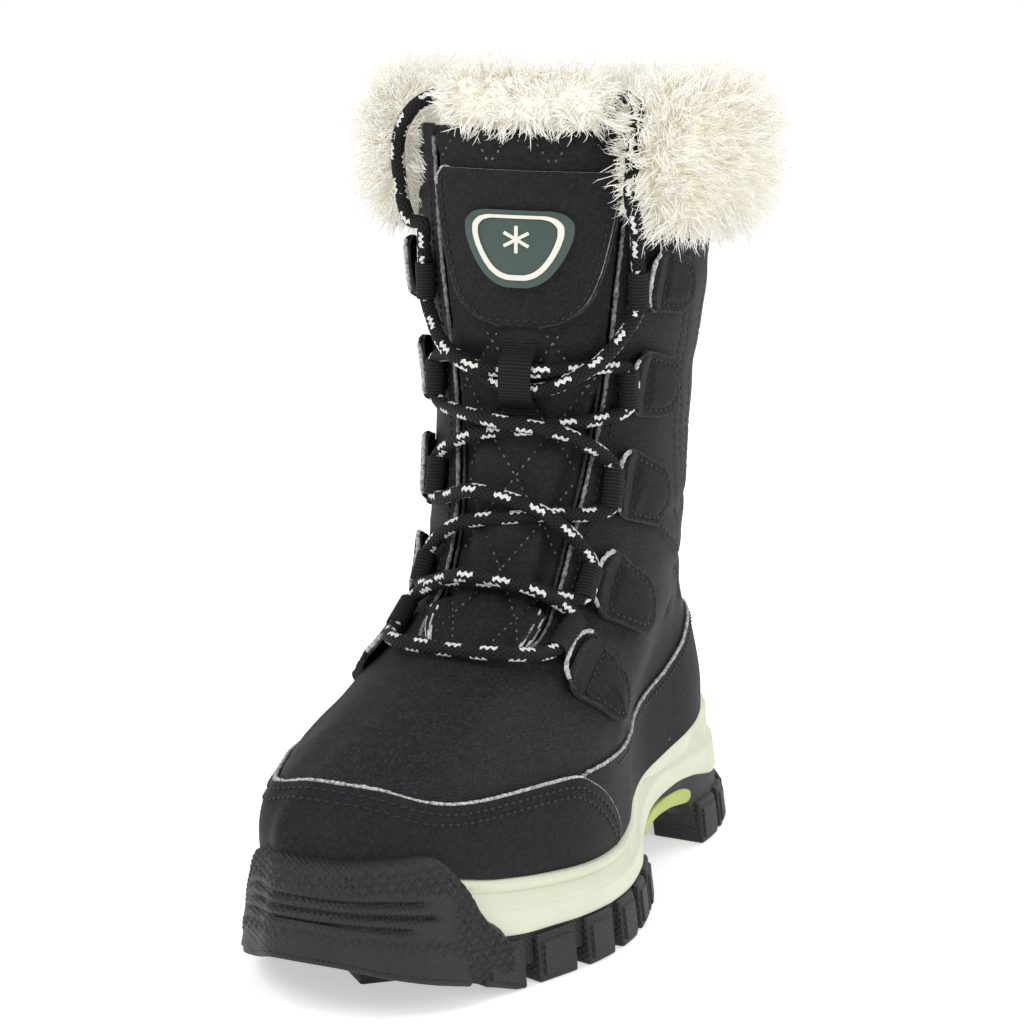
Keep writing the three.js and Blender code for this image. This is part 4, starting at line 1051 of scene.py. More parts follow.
def make_bumper(material):
    """Toe bumper with a knurled face, long grooves and a rounded top edge."""
    reach = float(sole_turn(at_along(0.190), 1))
    nu, rows, back_rows = 210, 60, 16
    nv = rows + back_rows

    def place(u, v):
        row = np.rint(v * nv).astype(int) % nv
        outside = row < rows
        s = np.where(outside, row / (rows - 1), (nv - 1 - row) / (back_rows - 1))
        turn = (2 * u - 1) * reach
        base = sole_point(turn, 20, 0)
        share = share_along(base[:, 1]) + BUMPER_SHIFT * smooth(-turn / 0.05)
        top = np.maximum(column(BUMPER_ROWS, 1, share) * HEEL_HEIGHT, 4)
        bottom = np.maximum(line_height(UNDERSIDE, base[:, 1]), 0) + 1
        height = bottom + (top - bottom) * s
        edge = np.maximum((height - (top - 3.2)) / 3.2, 0).clip(0, 1)
        low = np.clip((0.5 - s) / 0.5, 0, 1)
        side = np.clip((np.abs(2 * u - 1) - 0.97) / 0.03, 0, 1)
        round_off = np.sqrt(1 - np.maximum(edge, side) ** 2)
        out = -2 + (BUMPER_PROUD + 2) * round_off - 3.4 * low ** 2
        distance = turn * PERIMETER
        a = (distance + height) * math.pi / 4.4
        b = (distance - height) * math.pi / 4.4
        knurl = 1.05 * np.minimum(np.abs(np.sin(a)), np.abs(np.sin(b)))
        grooves = np.zeros(len(u))
        for level, long in ((0.42, 0.50), (0.53, 0.62), (0.64, 0.56)):
            line = bottom + (top - bottom) * level
            groove = np.exp(-((height - line) / 0.8) ** 2) * np.clip((long - np.abs(2 * u - 1)) / 0.05, 0, 1)
            grooves = np.maximum(grooves, groove)
        band = np.clip((s - 0.33) / 0.03, 0, 1) * np.clip((0.73 - s) / 0.03, 0, 1)
        band *= np.clip((0.70 - np.abs(2 * u - 1)) / 0.04, 0, 1)
        out += knurl * (1 - band) * round_off - 1.3 * grooves + 0.5 * band
        return sole_point(turn, height, np.where(outside, out, -4.0))

    return grid("bumper", nu, nv, place, [material], wrap_v=True)


def make_midsole():
    """Cup of foam: a stepped side wall with a beaded band under its lip."""
    foam = FINISH["foam"]
    nu = 720
    profile = MIDSOLE_PROFILE
    nv = 2 * len(profile)

    def place(u, v):
        low_turn = u
        base = sole_point(low_turn, 30, 0)
        y = base[:, 1]
        low = line_height(OUTSOLE_TOP, y) + 0.15
        high = line_height(MIDSOLE_TOP, y)
        i = np.rint(v * nv).astype(int) % nv
        outer = i <= len(profile) - 1
        row = np.array(profile)[np.minimum(i, len(profile) - 1)]
        height = low + (high - low) * row[:, 0]
        beads = 0.28 * np.cos(low_turn * PERIMETER * 2 * math.pi / 3.1) * row[:, 2]
        waist = 0.9 * np.exp(-((share_along(y) - 0.64) / 0.06) ** 2)
        waist = waist * np.exp(-((row[:, 0] - 0.25) / 0.16) ** 2)
        grow = row[:, 1] + beads - waist
        edge_y = np.interp(height, BUMPER_ROWS[1:, 1][::-1] * HEEL_HEIGHT, at_along(BUMPER_ROWS[1:, 0])[::-1])
        inner_side = smooth((1 - np.mod(low_turn, 1)) / 0.05) * (np.mod(low_turn, 1) > 0.5)
        edge_y = edge_y - BUMPER_SHIFT * SOLE_LENGTH * inner_side
        grow = np.where(y < edge_y - 3.2, -4.4, grow)
        outside = sole_point(low_turn, height, grow)
        share = np.clip((i - len(profile)) / (nv - len(profile) - 1), 0, 1)
        inner_height = high + (low + 0.8 - high) * share
        inside = grown(low_turn, inner_height, GAP + 0.05)
        return np.where(outer[:, None], outside, inside)

    mesh = grid("midsole_foam", nu, nv, place, [foam], wrap_u=True, wrap_v=True)
    return piece("midsole_dressed", mesh, ["midsole"], 50)


def make_arch():
    lime = FINISH["lime"]
    corners = [(at_along(a), h * HEEL_HEIGHT) for a, h in ARCH_INSERT]
    outline = even(spline(corners, True, 10), 72, closed=True)
    crescent = prism("arch_cut", outline, "x", -BALL_WIDTH, BALL_WIDTH, lime)
    mesh = cut(sole_block("arch", 0.5, lime), crescent, "INTERSECT")
    return piece("arch_insert_dressed", bevelled(mesh, 0.5, 2, 50), ["arch_insert"])


# Upper and overlays

def eased(points, rounds):
    """A closed outline with its corners rounded."""
    for _ in range(rounds):
        following = np.roll(points, -1, axis=0)
        points = np.stack([points * 0.8 + following * 0.2, points * 0.2 + following * 0.8], 1).reshape(-1, 2)
    return points


def front_outline(rows, grow=0.0, count=70, soft=False):
    """A closed outline across the front, from its half widths at several heights."""
    heights = np.linspace(rows[0, 0], rows[-1, 0], count)
    half = column(rows, 1, heights) * BALL_WIDTH + grow
    z = heights * SHAFT_HEIGHT
    middle = ridge(z)
    outline = np.concatenate([np.stack([middle + half, z], -1), np.stack([middle - half, z], -1)[::-1]])
    if soft:
        outline = eased(even(np.vstack([outline, outline[:1]]), 26, closed=True), 3)
    return outline


def upper_low(turn):
    return line_height(FOOTBED, form(turn, 30)[..., 1]) + 2 * GAP


def midsole_edge(turn):
    y = form(turn, 40)[..., 1]
    return line_height(MIDSOLE_TOP, y) + 0.2


def paint(mesh, rule):
    """Sets each face's material from the middle of its UVs."""
    uv = np.empty(len(mesh.loops) * 2, np.float32)
    mesh.uv_layers[0].uv.foreach_get("vector", uv)
    uv = uv.reshape(-1, 2)
    for polygon in mesh.polygons:
        middle = uv[polygon.loop_start:polygon.loop_start + polygon.loop_total].mean(0)
        polygon.material_index = rule(*middle)


def make_upper():
    def heights(turn):
        return upper_low(turn), np.full(np.shape(turn), SHAFT_HEIGHT)

    mesh = slab("upper_shell", (0.0, 1.0), heights, -WALL, 0.0, 250, 120, [FINISH["cloth"], FINISH["fleece"]],
                closed=True)
    paint(mesh, lambda u, v: 1 if v > 0.51 else 0)
    throat = prism("throat_cut", front_outline(THROAT_ROWS), "v", HALF * 0.2, HALF * 1.2, FINISH["dark_edge"])
    mesh = cut(mesh, throat, "DIFFERENCE")
    return piece("upper_dressed", mesh, ["upper"], 50)


def side_prism(name, outline, sign, material):
    start, end = (0, BALL_WIDTH) if sign > 0 else (-BALL_WIDTH, 0)
    if sign == 0:
        start, end = -BALL_WIDTH, BALL_WIDTH
    return prism(name, outline, "x", start, end, material)


def cap_outline(grow):
    line = spline([(at_along(a) + grow, h * SHAFT_HEIGHT + grow) for a, h in CAP_EDGE], False, 8)
    return [(-SOLE_LENGTH, 0), (-SOLE_LENGTH, line[0][1]), *line, (line[-1][0], 0)]


def stay_outline(grow):
    z = np.linspace(0.08, 1.02, 40) * SHAFT_HEIGHT
    middle = ridge(z, 0.5)
    half = BACK_STAY_WIDTH / 2 + grow
    return np.concatenate([np.stack([middle + half, z], -1), np.stack([middle - half, z], -1)[::-1]])


def make_cap():
    mesh = slab("cap", (-0.30, 0.30), lambda t: (midsole_edge(t), np.full(np.shape(t), 72.0)), GAP / 2,
                GAP / 2 + OVERLAY, 230, 46, [FINISH["leather"]])
    mesh = cut(mesh, side_prism("cap_cut", cap_outline(0), 0, FINISH["edge"]), "INTERSECT")
    return piece("toe_cap_dressed", mesh, ["toe_cap"])


def make_rand(name, sign):
    col = 1 if sign > 0 else 2
    front = [point for point in cap_outline(0.2) if point[0] > at_along(0.335)]
    top = [(at_along(a), column(RAND_ROWS, col, a) * SHAFT_HEIGHT) for a in np.linspace(0.34, 1.05, 60)]
    outline = [*front, (top[-1][0], 0), *top[::-1]]
    turns = (0.17, 0.52) if sign > 0 else (-0.52, -0.17)
    mesh = slab("rand", turns, lambda t: (midsole_edge(t), np.full(np.shape(t), 90.0)), GAP / 2,
                GAP / 2 + OVERLAY, 150, 40, [FINISH["leather"]])
    mesh = cut(mesh, side_prism("rand_cut", outline, sign, FINISH["edge"]), "INTERSECT")
    room = prism("stay_room", stay_outline(0.2), "v", -HALF * 1.2, 0, FINISH["dark_edge"])
    mesh = cut(mesh, room, "DIFFERENCE")
    return piece(f"rand_{name}_dressed", mesh, [f"rand_{name}"])


def make_stay():
    mesh = slab("stay", (0.45, 0.55), lambda t: (midsole_edge(t), np.full(np.shape(t), SHAFT_HEIGHT)),
                GAP / 2, GAP / 2 + OVERLAY, 30, 110, [FINISH["leather"]])
    band = prism("stay_cut", stay_outline(0), "v", -HALF * 1.2, 0, FINISH["dark_edge"])
    mesh = cut(mesh, band, "INTERSECT")
    return piece("back_stay_dressed", mesh, ["back_stay"])


def tab_outline(row, grow=0.0):
    """A D with rounded corners: its straight front edge runs along the lace loop."""
    along, end, rounding = row[4:]
    centre = np.array([at_along(along), end * SHAFT_HEIGHT])
    bottom = np.array([at_along(row[0]), row[1] * SHAFT_HEIGHT])
    top = np.array([at_along(row[2]), row[3] * SHAFT_HEIGHT])
    middle = (top + bottom) / 2
    lean = math.atan2(*(centre - middle)[::-1])
    angles = lean - math.pi / 2 + np.arange(17) / 16 * math.pi
    radius = rounding * BALL_WIDTH + grow
    arc = centre + radius * np.stack([np.cos(angles), np.sin(angles)], -1)
    down = (bottom - top) / np.linalg.norm(bottom - top)
    back = (centre - middle) / np.linalg.norm(centre - middle)
    top = top - down * grow - back * grow
    bottom = bottom + down * grow - back * grow
    points = np.vstack([top, bottom, arc])
    points = eased(points, 3)
    return even(np.vstack([points, points[:1]]), 90, closed=True)


def tab_front(row):
    """The middle of a tab's front edge in side view, and the direction back from it."""
    bottom = np.array([at_along(row[0]), row[1] * SHAFT_HEIGHT])
    top = np.array([at_along(row[2]), row[3] * SHAFT_HEIGHT])
    edge = (top - bottom) / np.linalg.norm(top - bottom)
    return (top + bottom) / 2, np.array([edge[1], -edge[0]])


def tab_seam(row):
    """The sewn D of a tab, well back from the edge that holds the loop."""
    outline = tab_outline(row, -2.1)
    middle, back = tab_front(row)
    short = np.maximum(TAB_SEAM_BACK - (outline - middle) @ back, 0)
    outline = outline + back * short[:, None]
    return np.vstack([outline, outline[:1]])


def tab_lift(ahead):
    """A tab's front edge stands off the shaft over the loop that it holds."""
    return TAB_LIFT * smooth((TAB_SEAM_BACK - ahead) / TAB_SEAM_BACK)


def make_tab(row, level, name, sign):
    outline = tab_outline(row)
    seam = tab_seam(row)
    middle, back = tab_front(row)

    def swell(turn, height):
        p = form(turn, height)
        sewn = line_distance(p[..., 1], height, seam[::3])
        rim = line_distance(p[..., 1], height, np.vstack([outline[::3], outline[:1]]))
        ahead = (p[..., 1] - middle[0]) * back[0] + (height - middle[1]) * back[1]
        lift = tab_lift(ahead)
        puffed = lift + 0.3 * smooth((sewn - 1) / 2)
        return puffed - 0.6 * np.exp(-(sewn / 0.9) ** 2) - 0.8 * np.exp(-(rim / 0.8) ** 2), lift

    y_low, z_low = outline.min(0) - 3
    y_high, z_high = outline.max(0) + 3
    turn_low = 0.03 * sign
    if y_low > form(0, z_low)[1] + 2:
        turn_low = float(side_turn(y_low, (z_low + z_high) / 2, sign))
    turn_high = float(side_turn(y_high, (z_low + z_high) / 2, sign)) + 0.01 * sign
    turns = (min(turn_low, turn_high) - 0.02, max(turn_low, turn_high) + 0.02)
    mesh = slab("tab", turns, lambda t: (np.full(np.shape(t), z_low), np.full(np.shape(t), z_high)), GAP / 2,
                GAP / 2 + TAB, 60, 44, [FINISH["leather"]], swell=swell)
    mesh = cut(mesh, side_prism("tab_cut", outline, sign, FINISH["dark_edge"]), "INTERSECT")
    solid = f"lace_tab_{name}_{level + 1}"
    return piece(f"{solid}_dressed", mesh, [solid])


# Tongue, patch, badge

QUILT_PITCH = 16.5
QUILT_ANGLE = math.radians(36)


def throat_half(height):
    return column(THROAT_ROWS, 1, np.asarray(height) / SHAFT_HEIGHT) * BALL_WIDTH


def quilt_lines(side, height):
    c, s = math.cos(QUILT_ANGLE), math.sin(QUILT_ANGLE)
    best = None
    for sign in (1, -1):
        at = (sign * side * c + height * s) / QUILT_PITCH
        d = np.abs(at - np.rint(at)) * QUILT_PITCH
        best = d if best is None else np.minimum(best, d)
    return best


def tongue_out(side, height):
    """Distance of the tongue's face from the form."""
    half = throat_half(height)
    room = 0.4 + 4.6 * smooth((176 - height) / 40) * smooth((height - 97) / 10)
    pad = smooth((half - room - np.abs(side)) / (1.2 + room * 0.7)) * smooth((height - 90) / 4)
    d = quilt_lines(side, height)
    quilt = -0.9 * np.exp(-(d / 1.3) ** 2) + 1.7 * smooth(d / (QUILT_PITCH / 2))
    swell = 1.5 * np.cos((height - 99) * math.pi / 26) ** 2 * np.clip((175 - height) / 30, 0, 1)
    behind_patch = smooth((height - 184) / 6) * smooth((243 - height) / 4)
    flat = 1 - behind_patch * smooth((0.27 * BALL_WIDTH - np.abs(side)) / 3)
    return -WALL - 0.4 + pad * (WALL + 0.1 + (quilt + swell) * flat)


def make_tongue():
    low = (THROAT_ROWS[0, 0] - 0.08) * SHAFT_HEIGHT
    top = TONGUE_TOP * SHAFT_HEIGHT
    nu, rows = 96, 160

    def place(u, v):
        outside, share = fold(v, rows)
        height = low + (top - low) * share
        side = (2 * u - 1) * (throat_half(height) + TONGUE_OVERLAP)
        turn = front_turn(side, height)
        out = np.where(outside, tongue_out(side, height), -WALL - 5.2)
        rolled = smooth((height - (top - 2.5)) / 2.5)
        return grown(turn, height, out - np.where(outside, 1.6 * rolled, 0))

    looks = [FINISH["quilt"], FINISH["fleece"], FINISH["lint"]]
    mesh = grid("tongue", nu, 2 * rows, place, looks, wrap_v=True)

    def finish(u, v):
        ragged = 0.064 + 0.014 * math.sin(u * 160) + 0.011 * math.sin(u * 330 + v * 400)
        if v > 0.51:
            return 1
        return 2 if v < ragged and abs(u - 0.5) > 0.27 + 0.012 * math.sin(v * 900) else 0

    paint(mesh, finish)
    tongue = piece("tongue_dressed", mesh, ["tongue"], 60)
    return tongue


def front_plate(name, rows, inner, outer, nu, nv, face, edge, soft=False):
    """A thin plate on the tongue's face, cut to an outline."""
    half = rows[:, 1].max() * BALL_WIDTH + 4
    low = rows[0, 0] * SHAFT_HEIGHT - 3
    high = rows[-1, 0] * SHAFT_HEIGHT + 3

    def place(u, v):
        outside, share = fold(v, nv)
        height = low + (high - low) * share
        side = (2 * u - 1) * half
        return grown(front_turn(side, height), height, np.where(outside, outer, inner))

    mesh = grid(name, nu, nv * 2, place, [face], wrap_v=True)
    outline = front_outline(rows, soft=soft)
    return cut(mesh, prism("plate_cut", outline, "v", HALF * 0.2, HALF * 1.2, edge), "INTERSECT")


def make_patch():
    mesh = front_plate("patch", PATCH_ROWS, GAP / 2, GAP / 2 + OVERLAY, 80, 70, FINISH["leather"],
                       FINISH["edge"])
    return piece("tongue_patch_dressed", mesh, ["tongue_patch"])


def make_badge():
    """A plain moulded shield with a raised pale rim and a generic six-armed snow star."""
    base = GAP / 2 + OVERLAY + GAP
    shield = FINISH["badge"]
    plate = front_plate("badge", BADGE_ROWS, base, base + 1.3, 40, 30, shield, shield, True)
    plate = bevelled(plate, 0.35, 2, 50)
    middle = np.array([ridge(0.862 * SHAFT_HEIGHT), 0.862 * SHAFT_HEIGHT])
    ring = front_plate("ring", BADGE_ROWS, base + 1.1, base + 1.75, 40, 30, FINISH["rim"], FINISH["rim"])
    outline = front_outline(BADGE_ROWS, soft=True)
    for share, way in ((0.84, "INTERSECT"), (0.73, "DIFFERENCE")):
        drawn_in = (outline - middle) * share + middle
        edge = prism("rim_cut", drawn_in, "v", HALF * 0.2, HALF * 1.2, FINISH["rim"])
        ring = cut(ring, edge, way)
    arms = []
    for k in range(3):
        angle = math.radians(90 + 60 * k)
        bm = bmesh.new()
        bmesh.ops.create_cube(bm, size=1)
        bmesh.ops.scale(bm, vec=(8.6, 1.1, 0.8), verts=bm.verts)
        bmesh.ops.bevel(bm, geom=bm.edges[:], offset=0.25, offset_type="OFFSET", segments=2, profile=0.5,
                        affect="EDGES", material=-1)
        co = np.array([v.co for v in bm.verts])
        side = co[:, 0] * math.cos(angle) - co[:, 1] * math.sin(angle)
        height = 0.864 * SHAFT_HEIGHT + co[:, 0] * math.sin(angle) + co[:, 1] * math.cos(angle)
        points = grown(front_turn(side, height), height, base + 1.4 + co[:, 2])
        for vert, point in zip(bm.verts, points):
            vert.co = Vector(point) * MM
        bmesh.ops.recalc_face_normals(bm, faces=bm.faces)
        arms.append(to_mesh("arm", bm, [FINISH["rim"]]))
    return piece("badge_dressed", joined("badge_parts", [plate, ring, *arms]), ["badge"])


# Lacing

# Strands between loops: loop, end and side where each starts and ends, and points between as share of the
# ball width across from the ridge, share of the shaft height, and millimetres outwards.
BAR = ((0, "low", -1), (0, "low", 1), [(-0.17, 0.347, 5.8), (0.13, 0.350, 5.2)])
FIRST_STRANDS = [
    ((0, "high", 1), (1, "low", -1), [(0.11, 0.416, 6.9), (-0.05, 0.426, 7.7)]),
    ((1, "high", -1), (2, "low", 1), [(-0.14, 0.490, 4.2), (0.05, 0.512, 3.1)]),
    ((2, "high", 1), (3, "low", -1), [(0.13, 0.612, 6.6), (-0.07, 0.630, 7.6)]),
    ((3, "high", -1), (4, "low", 1), [(-0.16, 0.708, 3.8), (-0.10, 0.690, 3.4), (-0.03, 0.674, 4.5),
                                      (0.06, 0.674, 4.6), (0.13, 0.692, 7.4), (0.20, 0.720, 7.0)]),
]
SECOND_STRANDS = [
    ((0, "high", -1), (1, "low", 1), [(-0.13, 0.420, 4.2), (0.05, 0.428, 3.1)]),
    ((1, "high", 1), (2, "low", -1), [(0.10, 0.510, 6.6), (-0.07, 0.536, 7.6)]),
    ((2, "high", -1), (3, "low", 1), [(-0.11, 0.608, 4.0), (0.07, 0.624, 3.1)]),
    ((3, "high", 1), (4, "low", -1), [(0.18, 0.704, 4.0), (0.12, 0.700, 3.3), (0.05, 0.699, 4.5),
                                      (-0.06, 0.698, 4.8), (-0.11, 0.703, 7.4), (-0.19, 0.722, 6.8)]),
]
END_ROWS = {
    1: [(0.278, 0.878, 6.6), (0.262, 0.925, 7.0), (0.268, 0.985, 7.0), (0.285, 1.028, 3.5),
        (0.290, 1.040, -4.5), (0.290, 1.026, -11.0), (0.285, 0.990, -13.5), (0.280, 0.950, -14.0)],
    -1: [(-0.315, 0.880, 6.8), (-0.345, 0.930, 8.0), (-0.345, 0.985, 8.0), (-0.310, 1.024, 4.5),
         (-0.290, 1.038, -4.5), (-0.290, 1.024, -11.0), (-0.285, 0.990, -13.5), (-0.280, 0.950, -14.0)],
}
LACE_OUT = LACE_RADIUS + 0.5 + GAP * 3
LOOP_INSET = 3.2


def loop_end(level, end, sign, lead=0.0):
    """An end of a lace loop's axis, moved out along it by a lead."""
    row = LACING_ROWS[level]
    side = sign * row[2] * BALL_WIDTH
    low = on_front(side, row[0] * SHAFT_HEIGHT, LACE_OUT)
    high = on_front(side, row[1] * SHAFT_HEIGHT, LACE_OUT)
    axis = (high - low) / np.linalg.norm(high - low)
    return high + axis * lead if end == "high" else low - axis * lead


def strand_points(strand):
    start, end, middle = strand
    points = [loop_end(*start, lead=-LOOP_INSET)]
    points += [on_front(side * BALL_WIDTH, height * SHAFT_HEIGHT, out) for side, height, out in middle]
    points.append(loop_end(*end, lead=-LOOP_INSET))
    return points


def make_lace():
    """One lace: down through every loop, across the bottom and up again, with its free ends as cords."""
    chain = []
    for start, end, middle in SECOND_STRANDS[::-1]:
        chain += strand_points((end, start, middle[::-1]))
    chain += strand_points(BAR)
    for strand in FIRST_STRANDS:
        chain += strand_points(strand)
    tops = [loop_end(4, "high", sign, lead=2.0) for sign in (-1, 1)]
    points = spline([tops[0], *chain, tops[1]], per=24)
    lace = piece("lace", tube("lace", points, LACE_RADIUS, 14, 1.0, [FINISH["lace"]]),
                 ["lace_crossings"], 80)
    ends = []
    for sign, name, top in ((1, "lateral", tops[1]), (-1, "medial", tops[0])):
        rows = [on_front(side * BALL_WIDTH, height * SHAFT_HEIGHT, out)
                for side, height, out in END_ROWS[sign]]
        start = [top, loop_end(4, "high", sign, 5.3), loop_end(4, "high", sign, 9.6)]
        path = even(spline([*start, *rows], per=16), step=1.0)
        cord = tube("lace_end", path, LACE_RADIUS, 14, 1.0, [FINISH["lace"]])
        end = piece(f"lace_end_{name}_dressed", cord, [f"lace_end_{name}"], 80)
        ends.append(end)
    return [lace, *ends]


def strap_profile(line, thickness):
    """The closed outline of webbing whose middle runs along a line in a plane."""
    line = even(spline(line, per=10), 44)
    along = np.gradient(line, axis=0)
    out = np.stack([-along[:, 1], along[:, 0]], -1)
    out /= np.linalg.norm(out, axis=1, keepdims=True)
    return np.vstack([line + out * thickness / 2, (line - out * thickness / 2)[::-1]])


def make_loop(level, name, sign):
    """Ribbed webbing folded round the lace, its two tails sewn into the tab."""
    low = loop_end(level, "low", sign, -LOOP_INSET)
    high = loop_end(level, "high", sign, -LOOP_INSET)
    axis = (high - low) / np.linalg.norm(high - low)
    row = LACING_ROWS[level]
    middle = (row[0] + row[1]) / 2 * SHAFT_HEIGHT
    normal = form_normal(front_turn(sign * row[2] * BALL_WIDTH, middle), middle)
    out = normal - axis * (normal @ axis)
    out /= np.linalg.norm(out)
    back = np.cross(axis, out)
    back *= np.sign(back @ (ACROSS * sign + [0, 0.6, 0]))
    r = LACE_RADIUS + 0.5
    ring = [(r * math.sin(a), r * math.cos(a)) for a in np.radians(np.linspace(-90, -270, 11))]
    line = [(-3.9, 7.5), (-3.1, 4.6), *ring, (r * 0.75, 2.1), (-0.2, 4.1), (-1.8, 5.5), (-2.9, 7.5)]
    path = low + (high - low) * np.linspace(0, 1, 20)[:, None]
    count = len(path)
    mesh = sweep("loop", path, np.tile(out, (count, 1)), np.tile(back, (count, 1)), strap_profile(line, 0.8),
                 [FINISH["webbing"]])
    solid = f"lace_loop_{name}_{level + 1}"
    return piece(f"{solid}_dressed", mesh, [solid], 50)


def make_keeper():
    """A webbing bridge on the tongue that holds the crossing strands."""
    rows = [(159.5, 0.6), (162.0, 0.9), (163.6, 3.2), (165.4, 6.6), (168.4, 7.7), (174.6, 7.9), (177.8, 6.8),
            (179.6, 3.4), (181.2, 0.9), (183.8, 0.6)]
    line = even(spline(rows, per=8), 60)
    turn = front_turn(0.0, line[:, 0])
    path = grown(turn, line[:, 0], line[:, 1])
    across = np.tile(ACROSS, (len(path), 1))
    tangents = np.gradient(path, axis=0)
    tangents /= np.linalg.norm(tangents, axis=1, keepdims=True)
    across -= tangents * (across * tangents).sum(1)[:, None]
    across /= np.linalg.norm(across, axis=1, keepdims=True)
    width, thickness = 5.2, 0.6
    inset = 0.4
    corners = [(-width, -thickness), (-width + inset, -thickness), (width - inset, -thickness),
               (width, -thickness), (width, thickness), (width - inset, thickness),
               (-width + inset, thickness), (-width, thickness)]
    profile = even(np.array([*corners, corners[0]], float), 28, closed=True)
    mesh = sweep("keeper", path, across, np.cross(tangents, across), profile, [FINISH["webbing"]])
    return piece("lace_keeper_dressed", mesh, ["lace_keeper"], 50)


# Fur

ROLL_ENDS = (0.094, 0.850)


def cuff_axis(share):
    turn = ROLL_ENDS[0] + (ROLL_ENDS[1] - ROLL_ENDS[0]) * share
    return grown(turn, 0.972 * SHAFT_HEIGHT, 5.0) + [0.9, 0, 0]


def tongue_axis(share):
    side = (2 * share - 1) * 0.235 * BALL_WIDTH
    return on_front(side, 1.034 * SHAFT_HEIGHT, -3.0)


ROLL_LENGTH = {cuff_axis: 130.0, tongue_axis: 26.0}


def roll_surface(axis, share, angle, thick, tall, out=0.0):
    """A point on a padded roll, and the direction out of it."""
    here = axis(share)
    along = axis(np.clip(share + 0.004, 0, 1)) - axis(np.clip(share - 0.004, 0, 1))
    along /= np.linalg.norm(along, axis=-1, keepdims=True)
    side = np.cross(along, UP)
    side /= np.linalg.norm(side, axis=-1, keepdims=True)
    round_end = thick * 1.6 / ROLL_LENGTH[axis]
    end = np.clip((np.abs(2 * share - 1) - 1 + round_end) / round_end, 0, 1)
    size = np.sqrt(np.maximum(1 - end ** 2, 0.0))
    c, s = np.cos(angle), np.sin(angle)
    normal = side * (c / thick)[..., None] + UP * (s / tall)[..., None]
    normal += along * (np.sign(share - 0.5) * end ** 2 * 1.4 / thick)[..., None]
    normal /= np.linalg.norm(normal, axis=-1, keepdims=True)
    point = here + side * (c * thick * size)[..., None] + UP * (s * tall * size)[..., None]
    return point + normal * np.asarray(out)[..., None], normal


def make_roll(name, axis, thick, tall, sections, sides, replaced):
    """The padded roll that carries the pile, with shallow hollows between its locks."""
    rng = np.random.default_rng(7)
    waves = rng.uniform(0, 2 * math.pi, 6)

    def place(u, v):
        angle = 2 * math.pi * (np.rint(u * sides).astype(int) % sides) / sides
        lumps = sum(np.sin(v * f * 9 + angle * g + w) for f, g, w in
                    zip((3, 5, 7, 9, 11, 4), (2, -3, 1, 4, -2, 5), waves)) / 6
        return roll_surface(axis, v, angle, thick, tall, 1.1 * lumps)[0]

    mesh = grid(name, sides, sections, place, [FINISH["fur"]], wrap_u=True)
    roll = piece(name, mesh, [replaced], 80)
    return roll


def make_pile(name, axis, span, thick, tall, strands, locks, length, seed):
    """Curved tapering hairs drawn together into locks."""
    rng = np.random.default_rng(seed)
    lock_share = rng.uniform(span[0], span[1], locks)
    lock_angle = rng.uniform(0, 2 * math.pi, locks)
    lock_point, lock_normal = roll_surface(axis, lock_share, lock_angle, thick, tall)
    lean = rng.normal(0, 0.62, (locks, 3)) + [0, 0, -0.3]
    direction = lock_normal + lean - lock_normal * (lean * lock_normal).sum(1)[:, None]
    direction /= np.linalg.norm(direction, axis=1, keepdims=True)
    lock_tip = lock_point + direction * (length * rng.uniform(0.75, 1.25, locks))[:, None]
    share = rng.uniform(span[0], span[1], strands)
    at_end = rng.uniform(0, 1, strands) < 0.1
    near = rng.uniform(0, 0.045, strands)
    share = np.where(at_end, near if span[0] == 0 else 1 - near, share)
    angle = rng.uniform(0, 2 * math.pi, strands)
    base, normal = roll_surface(axis, share, angle, thick, tall, -0.6)
    owner = np.empty(strands, int)
    for start in range(0, strands, 500):
        gap = np.linalg.norm(base[start:start + 500, None] - lock_point[None], axis=2)
        owner[start:start + 500] = gap.argmin(1)
    reach = rng.uniform(0.6, 1.1, strands) * length
    free = base + (normal + rng.normal(0, 0.3, (strands, 3))) * reach[:, None]
    pull = rng.beta(4, 3, strands)[:, None] * 0.9
    tip = free * (1 - pull) + lock_tip[owner] * pull
    middle = base + normal * (reach * 0.42)[:, None] + rng.normal(0, 0.7, (strands, 3))
    late = middle * 0.4 + tip * 0.6 + (tip - lock_point[owner]) * 0.04 + rng.normal(0, 0.5, (strands, 3))
    width = rng.uniform(0.15, 0.27, strands)
    rings = np.stack([base, middle, late, tip], 1)
    taper = np.array([1.0, 0.95, 0.7, 0.15])
    first = np.cross(tip - base, rng.normal(0, 1, (strands, 3)))
    first /= np.linalg.norm(first, axis=1, keepdims=True)
    second = np.cross(tip - base, first)
    second /= np.linalg.norm(second, axis=1, keepdims=True)
    bm = bmesh.new()
    bmesh.ops.create_cone(bm, cap_ends=True, segments=3, radius1=1, radius2=1, depth=3)
    for level in (-0.5, 0.5):
        bmesh.ops.bisect_plane(bm, geom=bm.verts[:] + bm.edges[:] + bm.faces[:], plane_co=(0, 0, level),
                               plane_no=(0, 0, 1))
    layer = bm.loops.layers.uv.new("UVMap")
    for face in bm.faces:
        for loop in face.loops:
            loop[layer].uv = (0.5, loop.vert.co.z / 3 + 0.5)

    def place(shape):
        level = np.rint(shape[:, 2] + 1.5).astype(int)
        radius = width[:, None] * taper[level]
        return (rings[:, level] + first[:, None] * (shape[:, 0] * radius)[..., None]
                + second[:, None] * (shape[:, 1] * radius)[..., None])

    mesh = scattered(name, bm, strands, place, [FINISH["fur"]])
    return piece(name, mesh, (), 180)


# Stitching

